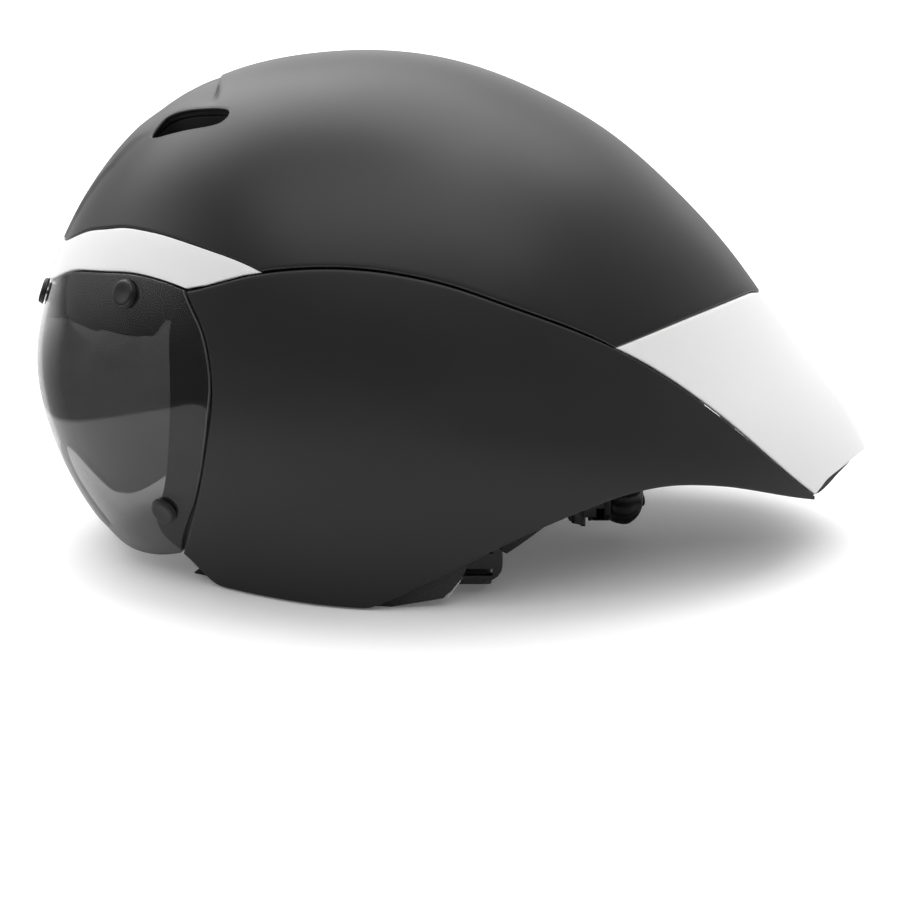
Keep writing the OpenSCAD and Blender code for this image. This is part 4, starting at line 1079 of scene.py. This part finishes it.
# %% Knitted cloth
def knit_finish():
    """Fine knit that follows the piece: loops 0.9 mm wide from two sine waves of its own millimetres, with
    lint, and flat shiny cloth where it is welded."""
    cloth = Finish("pad_knit", Specular_IOR_Level=0.25, Sheen_Weight=0.35, Sheen_Roughness=0.5)
    along, across, weld = cloth.attribute("along"), cloth.attribute("across"), cloth.attribute("weld")
    loops = ((along * 7.0).sine() * 0.5 + 0.5) * ((across * 5.2 + (along * 3.5).sine() * 0.8).sine() * 0.5 + 0.5)
    loops = loops * (weld * -0.8 + 1.0)
    lint = cloth.noise(1400.0, 3.0).ramp(0.42, 0.75)
    patches = cloth.noise(35.0, 3.0).ramp(0.3, 0.7)
    base = cloth.blend(loops * 0.7 + patches * 0.3, grey(19), grey(44))
    cloth.set(
        Base_Color=cloth.blend(lint * 0.25, base, grey(78)),
        Roughness=weld * -0.25 + 0.88,
        Normal=cloth.bump(loops + lint * 0.3, 0.00018, 0.7),
    )
    return cloth.material


knit = knit_finish()
print("knit:", knit.name)

# %% Pad form
PAD_GAP, PAD_HIGH, EAR_PAD_HIGH = 0.9, 7.0, 10.0
PAD_ROWS, PAD_COLUMNS = 61, 33
PAD_EDGE, PAD_START = 0.9, 0.55  # millimetres of the welded rim, and the share of the height before the cloth


def weld_lines(s, t, channels):
    """1 on the rim and along channels: bars across the pad at given s, fading out within a few percent."""
    rim = smooth_step(np.maximum(np.abs(s), np.abs(t)), 0.86, 0.95)
    bars = [1 - smooth_step(np.abs(s - at), 0.015, 0.06) for at in channels]
    return np.max([rim, *bars], axis=0)


def rounded_square(s, t, corner):
    """Pulls the corners of the square of s and t in, up to a circle at corner = 1."""
    return s * np.sqrt(1 - corner * t**2 / 2), t * np.sqrt(1 - corner * s**2 / 2)


def pad_grids(place, high, channels=(), corner=0.5, rows=PAD_ROWS, columns=PAD_COLUMNS):
    """The pad's back at depth 0 and its face at a depth that rises from the weld to a low cushion. place takes
    s and t from -1 to 1 and a depth in millimetres."""
    s, t = np.meshgrid(np.linspace(-1, 1, rows), np.linspace(-1, 1, columns), indexing="ij")
    weld = weld_lines(s, t, channels)
    swell = np.sqrt(np.clip(1 - s**6, 0, 1) * np.clip(1 - t**4, 0, 1)) * (1 - 0.8 * weld)
    x, y = rounded_square(s, t, corner)
    back, face = place(x, y, np.zeros_like(s)), place(x, y, PAD_EDGE + (high * PAD_START - PAD_EDGE) * swell)
    along = np.cumsum(np.linalg.norm(np.diff(face, axis=0, prepend=face[:1]), axis=-1), axis=0)
    across = np.cumsum(np.linalg.norm(np.diff(face, axis=1, prepend=face[:, :1]), axis=-1), axis=1)
    return back, face, weld, along, across


def pad(name, place, high, node, body="helmet", channels=(), corner=0.5, **size):
    """A closed pad whose points carry their cloth millimetres and their weld."""
    back, face, weld, along, across = pad_grids(place, high, channels, corner, **size)
    points, faces = wall_mesh(face, back)
    marks = {"weld": np.concatenate([weld.ravel(), np.ones(weld.size)]),
             "along": np.tile(along.ravel(), 2), "across": np.tile(across.ravel(), 2)}
    piece = new_piece(name, points, faces, knit, body, smooth=80, attributes=marks)
    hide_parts(node)
    return piece


def dome_point(along, across, inset):
    """The head dome with its poles at the ears, by the angle over the top and the angle to the side."""
    a, b = np.radians(along), np.radians(across)
    return np.stack([HEAD_X - (HEAD_LENGTH / 2 - inset) * np.cos(a) * np.cos(b),
                     (HEAD_WIDTH / 2 - inset) * np.sin(b),
                     HEAD_LEVEL + (HEAD_DOME - inset) * np.sin(a) * np.cos(b)], -1)


print("pad grid:", PAD_ROWS, "by", PAD_COLUMNS)

# %% Pads on the head dome
def brow_place(s, t, depth):
    return head_point(180 + 40 * s, 8 + 8 * t, PAD_GAP + depth)


def crown_pad_place(s, t, depth):
    return dome_point(92 + 34 * s, 13 * t, PAD_GAP + depth)


def side_place(s, t, depth):
    return head_point(262 + 30 * s, 18 + 10 * t, PAD_GAP + depth)


def to_right(place):
    return lambda s, t, depth: place(s, t, depth) * [1, -1, 1]


pads = [
    pad("pad_brow", brow_place, PAD_HIGH, "brow_pad", channels=(-0.36, 0.36), rows=101, columns=25),
    pad("pad_crown", crown_pad_place, PAD_HIGH, "crown_pad", channels=(-0.34, 0.34), rows=81),
    pad("pad_side_left", side_place, PAD_HIGH, "side_pad_left", channels=(0.0,), rows=81),
    pad("pad_side_right", to_right(side_place), PAD_HIGH, "side_pad_right", channels=(0.0,), rows=81),
]
print("pads on the dome:", len(pads))

# %% [markdown]
# The ear pads line the side panels, so their places lie on the inset hull inside a four-sided outline in side
# view. The pads of the cradle are small: one on its flat cover and one along each nape wing.

# %% Ear pads
EAR_TOP, EAR_LOW = [[-66, 58], [-48, 64], [-20, 63], [0, 54]], [[-70, -4], [-46, -4], [-22, 0.5], [-1, 3]]
EAR_FRONT, EAR_REAR = [[-66, 58], [-74, 28], [-70, -4]], [[0, 54], [8, 37], [6.5, 17], [-1, 3]]


def ear_place(s, t, depth):
    spot = coons(EAR_TOP, EAR_LOW, EAR_FRONT, EAR_REAR, (s + 1) / 2, (t + 1) / 2)
    spot = spot + (np.array([-33.0, 29.5]) - spot) * 0.03 * np.clip(depth, 0, 1)[..., None]
    return np.stack([spot[..., 0], -half_width_at(spot, FOAM_INSET + depth), np.maximum(spot[..., 1], 0.3)], -1)


for side, place in (("left", ear_place), ("right", to_right(ear_place))):
    pads.append(pad(f"pad_ear_{side}", place, EAR_PAD_HIGH, f"ear_pad_{side}",
                    channels=(0.05,), corner=0.35, rows=71, columns=51))
print("ear pads reach down to", round(min(float(pads[-1].data.vertices[i].co.z) for i in range(10)), 4))

# %% Cradle pads
DIAL_Z, HOUSING_X, HOUSING_WALL = 20.0, 62.0, 1.6
PITCH_RADIUS, TOOTH_MODULE, RACK_BACK = 3.2, 0.8, 3.0
RACK_EDGE = PITCH_RADIUS + 1.1 * TOOTH_MODULE + RACK_BACK
HOUSING_HIGH, HOUSING_WIDE = 2 * (RACK_EDGE + FIT + HOUSING_WALL), 44.0
WING_X, WING_TOP, WING_HIGH = HOUSING_X - HOUSING_WALL - 2.6, DIAL_Z + HOUSING_HIGH / 2 - 0.6, 16.0
RACK_END = HOUSING_WIDE / 2 + 15


def wing_line(k):
    """Middle line of the left wing for k from 0, at the rack, to 1, at its tip, and its height there."""
    height = WING_HIGH * (1 - 0.5 * k)
    return np.stack([WING_X - 5 * k**2, 9 - RACK_END - 17 * k, WING_TOP - height / 2], -1), height


def wing_out(k):
    """The level direction square to the wing: its slope is 10 k to 17."""
    direction = np.stack([-17 + 0 * k, 10 * k, 0 * k], -1)
    return direction / np.linalg.norm(direction, axis=-1, keepdims=True)


def wing_place(s, t, depth):
    k = 0.125 + 0.875 * (s + 1) / 2
    line, height = wing_line(k)
    return line + (1.7 + depth)[..., None] * wing_out(k) + (0.44 * height * t)[..., None] * np.array([0, 0, 1.0])


def nape_place(s, t, depth):
    return np.stack([HOUSING_X - HOUSING_WALL - depth - 0.1, 13.6 * s, DIAL_Z + 7.2 * t], -1)


pads.append(pad("pad_nape", nape_place, 5.0, "nape_pad", "cradle", corner=0.45, rows=41, columns=29))
for side, place in (("left", wing_place), ("right", to_right(wing_place))):
    pads.append(pad(f"pad_wing_{side}", place, 4.0, f"wing_pad_{side}", f"{side}_wing",
                    corner=0.4, rows=35, columns=25))
print("pads in all:", len(pads))

# %% [markdown]
# ## Blowing the pads up
# Cloth takes a vertex group for its pins. Everything with a weld of more than one half is pinned, and the
# back too, so only the faces rise. The pressure is 4, gravity is off, and the change from the first frame to
# the last is kept under the cap. Without the simulation the pads would only be smooth bumps.

# %% Cloth under pressure
CLOTH_FRAMES = 20
CLOTH_MASS, CLOTH_PRESSURE = 0.15, 4.0
STRETCH_STIFFNESS, SHEAR_STIFFNESS, BEND_STIFFNESS = 9, 5, 0.4


def inflate(pieces, caps):
    """Runs the cloth of all pads at once and writes the capped result back into their meshes."""
    starts = []
    for piece in pieces:
        weld = np.zeros(len(piece.data.vertices), np.float32)
        piece.data.attributes["weld"].data.foreach_get("value", weld)
        pins = piece.vertex_groups.new(name="pins")
        pins.add(np.flatnonzero(weld > 0.5).tolist(), 1.0, "REPLACE")
        cloth = piece.modifiers.new("cloth", "CLOTH")
        settings = cloth.settings
        settings.vertex_group_mass, settings.mass, settings.quality = "pins", CLOTH_MASS, 6
        settings.use_pressure, settings.uniform_pressure_force = True, CLOTH_PRESSURE
        settings.tension_stiffness = settings.compression_stiffness = STRETCH_STIFFNESS
        settings.shear_stiffness, settings.bending_stiffness = SHEAR_STIFFNESS, BEND_STIFFNESS
        settings.effector_weights.gravity = 0
        cloth.collision_settings.use_collision = cloth.collision_settings.use_self_collision = False
        cloth.point_cache.frame_start, cloth.point_cache.frame_end = 1, CLOTH_FRAMES
        co = np.zeros(len(piece.data.vertices) * 3)
        piece.data.vertices.foreach_get("co", co)
        starts.append(co.reshape(-1, 3))
    for frame_number in range(1, CLOTH_FRAMES + 1):
        bpy.context.scene.frame_set(frame_number)
    seen = bpy.context.evaluated_depsgraph_get()
    for piece, start, cap in zip(pieces, starts, caps):
        end = np.zeros(start.size)
        piece.evaluated_get(seen).data.vertices.foreach_get("co", end)
        move = end.reshape(-1, 3) - start
        length = np.linalg.norm(move, axis=1, keepdims=True)
        move *= np.minimum(1, cap * MM / np.maximum(length, 1e-9))
        piece.modifiers.clear()
        piece.vertex_groups.clear()
        piece.data.vertices.foreach_set("co", (start + move).ravel())
        piece.data.update()
        print(f"{piece.name}: up to {length.max() * 1000:.1f} mm, capped at {cap} mm")
    bpy.context.scene.frame_set(1)


caps_mm = [2.9, 2.9, 2.9, 2.9, 4.0, 4.0, 2.0, 1.6, 1.6]
inflate(pads, caps_mm)
print("pads ready")

# %% [markdown]
# ## Straps
# The straps are flat polyester webbing, woven on a narrow loom with a firm edge. Two come down on each side,
# meet in a divider below the ear and go on as one strap to the buckle. Webbing bends but hardly stretches, so
# nothing is simulated: a section with soft corners is carried along the way that each strap lies.

# %% Webbing finish
def webbing_finish():
    """Crossed sine waves of the strap's own millimetres give the weave, and the selvedge is smooth."""
    tape = Finish("strap_webbing", Specular_IOR_Level=0.35, Sheen_Weight=0.12)
    along, across = tape.attribute("along"), tape.attribute("across")
    selvedge = across.math("ABSOLUTE", across).ramp(6.1, 6.6)
    ribs = (along * 4.4 + (across * 2.0).sine() * 1.1).sine() * 0.5 + 0.5
    weave = ribs * ((across * 4.6).sine() * 0.4 + 0.6) * (1.0 - selvedge * 0.7)
    wear = tape.noise(60.0, 3.0).ramp(0.35, 0.7)
    tape.set(
        Base_Color=tape.blend(weave * 0.8 + wear * 0.2, grey(15), grey(46)),
        Roughness=weave * 0.12 + 0.6,
        Normal=tape.bump(weave, 0.00022, 0.8),
    )
    return tape.material


webbing_tape = webbing_finish()
print("webbing:", webbing_tape.name)

# %% Strap along a line
STRAP_WIDE, STRAP_THICK = 15.0, 1.4


def strap(name, line, widths, node, body="helmet", rows=141, count=28):
    """Carries the section (|cos|^0.3, |sin|^0.6) along a curve through line; widths are the directions across
    the strap at the same points. The first and last rings are pressed flat, which closes the ends."""
    s = np.linspace(0, 1, rows)
    path, across = curve(line, s), curve(widths, s)
    across /= np.linalg.norm(across, axis=1, keepdims=True)
    off = np.cross(directions(path, False), across)
    off /= np.linalg.norm(off, axis=1, keepdims=True)
    turn = np.linspace(0, 2 * math.pi, count, endpoint=False)
    wide = np.sign(np.cos(turn)) * np.abs(np.cos(turn)) ** 0.3 * STRAP_WIDE / 2
    thick = np.sign(np.sin(turn)) * np.abs(np.sin(turn)) ** 0.6 * STRAP_THICK / 2
    pressed = np.where((s > 0) & (s < 1), 1.0, 0.0)[:, None] * thick
    points = path[:, None] + wide[None, :, None] * across[:, None] + pressed[..., None] * off[:, None]
    length = np.cumsum(np.linalg.norm(np.diff(path, axis=0, prepend=path[:1]), axis=1))
    marks = {"along": np.repeat(length, count), "across": np.tile(wide, rows)}
    piece = new_piece(name, points, ring_quads(rows, count), webbing_tape, body, smooth=60, attributes=marks)
    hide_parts(node)
    return float(length[-1])


print("strap section:", STRAP_WIDE, "by", STRAP_THICK)

# %% The straps of both sides
DIVIDER = np.array([10.0, -79.04, 17.5])
FLOOR_Z = 2.1
FRONT_LINE = [[-69, -84, 71], [-67, -84, 60], [-50, -83.008, 49], [-28, -81.024, 38], DIVIDER + [-10, 0, 6]]
FRONT_WIDTHS = [[1, 0, 0], [0.9, 0, 0.4], [0.5, 0, 0.86], [0.45, 0, 0.9], [0.5, 0, 0.86]]
REAR_LINE = [[60, -75.92, 67], [59, -76.544, 58], [46, -78.104, 47], [31, -79.04, 35], DIVIDER + [7, 0, 6]]
REAR_WIDTHS = [[1, 0, 0], [0.9, 0, -0.4], [0.75, 0, -0.66], [0.7, 0, -0.7], [0.9, 0, -0.45]]


def chin_line(end):
    """From the divider down to the floor and along it to y = -end."""
    return [DIVIDER + [0, 0.5, -8.5], DIVIDER + [0, 4, -11.5], DIVIDER + [0, 9, -14.1], [10, -64.04, FLOOR_Z],
            [10, -48, FLOOR_Z], [10, -end, FLOOR_Z]]


lengths = {}
for side, flip, chin_end in (("left", [1, 1, 1], 22.3), ("right", [1, -1, 1], 36.0)):
    for name, line, widths in (("strap_front", FRONT_LINE, FRONT_WIDTHS), ("strap_rear", REAR_LINE, REAR_WIDTHS),
                               ("chin_strap", chin_line(chin_end), [[1, 0, 0]] * 6)):
        node = f"{name}_{side}"
        lengths[node] = strap(f"webbing_{node}", np.array(line) * flip, np.array(widths, float) * flip, node)
END_LINE = [[x, y, FLOOR_Z] for x, y in ((2.2, -60), (-34, -62), (-70, -61), (-90, -57), (-106, -49))]
END_WIDTHS = [[0, 1, 0], [0.05, 1, 0], [0.05, 1, 0], [0.35, 1, 0], [0.5, 1, 0]]
lengths["strap_end_left"] = strap("webbing_strap_end_left", END_LINE, END_WIDTHS, "strap_end_left")
PLUG_LINE = [[10, y, FLOOR_Z + STRAP_THICK + FIT] for y in (21.1, 28, 36, 42)]
lengths["plug_strap"] = strap(
    "webbing_plug_strap", PLUG_LINE, [[1, 0, 0]] * 4, "plug_strap", "buckle_plug_end", rows=31)
print("strap lengths in mm:", {key: round(value) for key, value in lengths.items()})

# %% [markdown]
# ## Moulded fittings
# Dividers, buckle and keeper are injection-moulded acetal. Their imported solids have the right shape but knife
# edges. A copy of each gets its flat faces merged back together and its corners rounded with a bevel, which is
# what a real mould does so that the part comes out and the webbing isn't cut.

# %% Rounded copies of solids
acetal = shell_finish("black_acetal", 13, 0.38, 34)


def dressed(node, body, bevel):
    """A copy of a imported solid: equal points merged, flat faces joined, edges over 30 degrees rounded by
    bevel millimetres."""
    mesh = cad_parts[node].data.copy()
    if "custom_normal" in mesh.attributes:
        mesh.attributes.remove(mesh.attributes["custom_normal"])
    shape = bmesh.new()
    shape.from_mesh(mesh)
    bmesh.ops.remove_doubles(shape, verts=shape.verts, dist=MERGE_DISTANCE)
    bmesh.ops.dissolve_limit(shape, angle_limit=math.radians(1), verts=shape.verts, edges=shape.edges)
    sharp = [e for e in shape.edges if e.is_manifold and e.calc_face_angle(0) > math.radians(30)]
    bmesh.ops.bevel(
        shape, geom=sharp, offset=bevel * MM, segments=3, profile=0.5, affect="EDGES", clamp_overlap=True)
    shape.to_mesh(mesh)
    shape.free()
    piece = bpy.data.objects.new(f"{node}_moulded", mesh)
    bpy.context.scene.collection.objects.link(piece)
    finished(piece, acetal, body, smooth=40)
    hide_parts(node)


for node, body, bevel in (
        ("divider_left", "helmet", 0.9), ("divider_right", "helmet", 0.9), ("buckle_socket", "helmet", 0.9),
        ("buckle_plug", "buckle_plug_end", 0.9), ("strap_keeper", "buckle_plug_end", 0.25),
        ("strap_anchors", "helmet", 0.6), ("temple_pins", "helmet", 0.4)):
    dressed(node, body, bevel)

# %% Bare label
def label_grid(offset):
    """A folded cloth label in the seam of the left ear pad: 9 mm tall, standing 5 mm out, slightly curled."""
    s, t = np.meshgrid(np.linspace(0, 1, 9), np.linspace(0, 1, 7), indexing="ij")
    base = np.array([-1.0, -88.0, 4.4]) + s[..., None] * np.array([5.0, -2.0, 8.1])
    return base + t[..., None] * np.array([0.6, 4.5, 0.4]) + (offset + 0.5 * np.sin(3 * t))[..., None] * [1, 0, 0]


label = new_piece("bare_label", *wall_mesh(label_grid(0), label_grid(0.5)), white_coat, smooth=60)
print("label points:", len(label.data.vertices))

# %% [markdown]
# ## The fit cradle
# A wearer sets the size with a dial at the nape. A yoke hangs from two pins at the temples, and its rear end
# carries a small housing with a pinion and two racks. Turning the dial drives both racks the same way apart or
# together. These parts are nylon: thin, slightly glossy, with rounded edges.

# %% Cradle parts
for node, body, bevel in (
        ("cradle_yoke", "cradle", 0.5), ("dial_housing", "cradle", 0.7), ("housing_cover", "cradle", 0.4),
        ("rack_left", "left_wing", 0.3), ("rack_right", "right_wing", 0.3)):
    dressed(node, body, bevel)
print("cradle parts rounded")

# %% Dial with lobes
LOBES, LOBE_POWER, GRIP_DEPTH = 12, 1.6, 1.5
DIAL_PROFILE = [[66.6, 0], [66.6, 3], [70.5, 3], [70.5, 14.2], [71.2, 15.1], [74, 16.1], [77, 16.5], [79, 16.1],
                [80.6, 15.1], [82.3, 13.6], [83.7, 11.6], [84.6, 9.6], [85, 7.6], [84.9, 4], [84.7, 0]]


def dial_points(count=240):
    """The profile turned round the dial's axis. A lobe is a power of a cosine, deepest at the grip."""
    rows = np.array(DIAL_PROFILE, float)
    fine = np.concatenate([rows[:4], curve(rows[3:], np.linspace(0, 1, 60))[1:]])
    turn = np.linspace(0, 2 * math.pi, count, endpoint=False)
    grip = smooth_step(fine[:, 0], 70.4, 73) * (1 - smooth_step(fine[:, 0], 82, 84.6)) * (fine[:, 1] > 6)
    scallop = (0.5 - 0.5 * np.cos(LOBES * turn)) ** LOBE_POWER
    radius = fine[:, 1, None] - GRIP_DEPTH * grip[:, None] * scallop[None, :]
    x = np.broadcast_to(fine[:, 0, None], radius.shape)
    return np.stack([x, radius * np.sin(turn), DIAL_Z + radius * np.cos(turn)], -1)


knob_points = dial_points()
knob = new_piece("dial_lobed", knob_points, ring_quads(*knob_points.shape[:2]), rubber, "dial", smooth=50)
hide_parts("dial_knob")
loop_path = curve(
    [[80.5, 0, 13], [85.2, 0, 11.6], [85.6, 0, 14.8], [84.2, 0, 18], [83.4, 0, 20]], np.linspace(0, 1, 40))
new_piece("dial_loop", *tube(loop_path, round_ends(40, 0.6), (0, 1, 0)), rubber, "dial", smooth=60)
print("dial quads:", len(knob.data.polygons))

# %% [markdown]
# ## Small metal and hidden parts
# Steel discs in the rail and flanges hold the visor's magnets. They are zinc plated and the magnets are nickel
# plated. Fine scratches and a slow change in gloss keep both from looking like mirrors.

# %% Metals, nylon and hook tape
def metal_finish(name, tone, rough, warmth):
    """Plated metal: noise in the gloss and a fine scratched normal."""
    plate = Finish(name, Metallic=1.0)
    cloud, scratch = plate.noise(220.0, 3.0), plate.noise(2200.0, 2.0)
    plate.set(
        Base_Color=plate.blend(cloud.ramp(0.3, 0.7), grey(tone - 12, warmth), grey(tone + 8, warmth)),
        Roughness=cloud * 0.12 + rough,
        Normal=plate.bump(scratch, 0.00001, 0.4),
    )
    return plate.material


def hook_finish():
    """Hook tape: rows of small hooks as a grid of dots."""
    tape = Finish("hook_tape")
    dots = tape.add(
        "ShaderNodeTexVoronoi", {"feature": "F1"}, {"Vector": tape.place(), "Scale": 900.0}, output="Distance")
    tape.set(Base_Color=tape.blend(dots.ramp(0.1, 0.6), grey(96), grey(40)), Roughness=dots * 0.2 + 0.5,
             Normal=tape.bump(dots, 0.0002, 0.8))
    return tape.material


carried = {
    "steel_seats": metal_finish("zinc_plate", 178, 0.3, -2),
    "visor_magnets": metal_finish("nickel_plate", 205, 0.18, 3),
    "dial_pinion": shell_finish("grey_nylon", 96, 0.4, 120),
    "pad_hook_dots": hook_finish(),
}
for node, finish in carried.items():
    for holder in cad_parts[node].material_slots:
        holder.material = finish
print("carried over:", ", ".join(carried))

# %% [markdown]
# ## Stage and light
# The photograph has a white table, a white backdrop, a dark room behind the camera and a big soft light above.
# The crown grows pale towards its top, where it mirrors the backdrop. The visor mirrors the table up to a line
# and little above it: traced back from the visor's surface, that line is the table's edge on the left.

# %% Floor
TABLE_FRONT = -0.36
TABLE_LEFT, TABLE_SLANT = -0.283, 0.36
PAPER_SLANT = 0.45
TABLE_HALF = 6.0


def floor_finish():
    """White for the camera, a little greyer for bounced light, and dark in mirrors beyond the table's edges:
    in front of y = TABLE_FRONT, and left of x = TABLE_LEFT + TABLE_SLANT y as far back as the line
    y = -PAPER_SLANT x, where the paper of the backdrop starts (x and y of Object coordinates)."""
    floor = Finish("table_white", Roughness=0.9, Specular_IOR_Level=0.1)
    camera_ray = floor.add("ShaderNodeLightPath", output="Is Camera Ray")
    glossy_ray = floor.add("ShaderNodeLightPath", output="Is Glossy Ray")
    x, y = (floor.add("ShaderNodeSeparateXYZ", {}, {0: floor.place()}, output=axis) for axis in "XY")
    in_front = y.ramp(TABLE_FRONT - 0.01, TABLE_FRONT, 1.0, 0.0)
    to_left = (x - y * TABLE_SLANT).ramp(TABLE_LEFT - 0.012, TABLE_LEFT, 1.0, 0.0)
    bare = (y + x * PAPER_SLANT).ramp(-0.12, 0.2, 1.0, 0.0)
    beyond = in_front.math("MAXIMUM", in_front, to_left * bare) * glossy_ray
    tone = floor.noise(3.0, 2.0).ramp(0.2, 0.8)
    paper = floor.blend(camera_ray, floor.blend(tone, grey(232), grey(236)), grey(254))
    floor.set(
        Base_Color=floor.blend(beyond, paper, grey(20)),
        Emission_Color=grey(255),
        Emission_Strength=camera_ray * 0.1,
    )
    return floor.material


floor_mesh = bpy.data.meshes.new("table")
floor_mesh.from_pydata(
    [(x * TABLE_HALF, y * TABLE_HALF, 0) for x, y in ((-1, -1), (1, -1), (1, 1), (-1, 1))], [], [(0, 1, 2, 3)])
table = bpy.data.objects.new("table", floor_mesh)
table.location.z = -0.0003
bpy.context.scene.collection.objects.link(table)
table.data.materials.append(floor_finish())
print("table", TABLE_HALF * 2, "m wide")

# %% Lamps and world
def softbox(name, location, aim, size, power):
    """A rectangular area lamp that faces a point."""
    lamp = bpy.data.lights.new(name, "AREA")
    lamp.shape, lamp.size, lamp.size_y, lamp.energy = "RECTANGLE", size[0], size[1], power
    box = bpy.data.objects.new(name, lamp)
    box.location = location
    box.rotation_euler = (Vector(aim) - Vector(location)).to_track_quat("-Z", "Y").to_euler()
    bpy.context.scene.collection.objects.link(box)


softbox("key", (0.15, -1.0, 1.5), (0, 0, 0.05), (2.4, 1.2), 15.5)
softbox("top", (0.3, 0.55, 1.7), (0, 0, 0.1), (2.2, 1.5), 31)
softbox("front_high", (-0.85, 0.75, 1.25), (0, 0, 0.12), (1.3, 1.0), 14.5)
softbox("back", (0.3, 1.7, 0.85), (0, 0, 0.12), (3.2, 1.3), 11)
world = bpy.data.worlds.new("studio")
bpy.context.scene.world = world
world.use_nodes = True
room = Tree(world.node_tree)
direction = room.add("ShaderNodeTexCoord", output="Generated")
x, y, z = (room.add("ShaderNodeSeparateXYZ", {}, {0: direction}, output=axis) for axis in "XYZ")
camera_ray = room.add("ShaderNodeLightPath", output="Is Camera Ray")
walls = y.ramp(-0.3, 0.5, 0.06, 0.68)
left_wall = x.ramp(-0.99, -0.75, 2.0, 0.0) * z.ramp(0.02, 0.3)
right_wall = x.ramp(0.2, 0.8, 0.0, 0.2) * z.ramp(0.2, 0.6)
light = walls + left_wall + right_wall
room.wire(light * (1.0 - camera_ray) + camera_ray, room.nodes["Background"].inputs["Strength"])
room.nodes["Background"].inputs["Color"].default_value = (1, 1, 1, 1)
bpy.context.scene.view_settings.view_transform = "Standard"
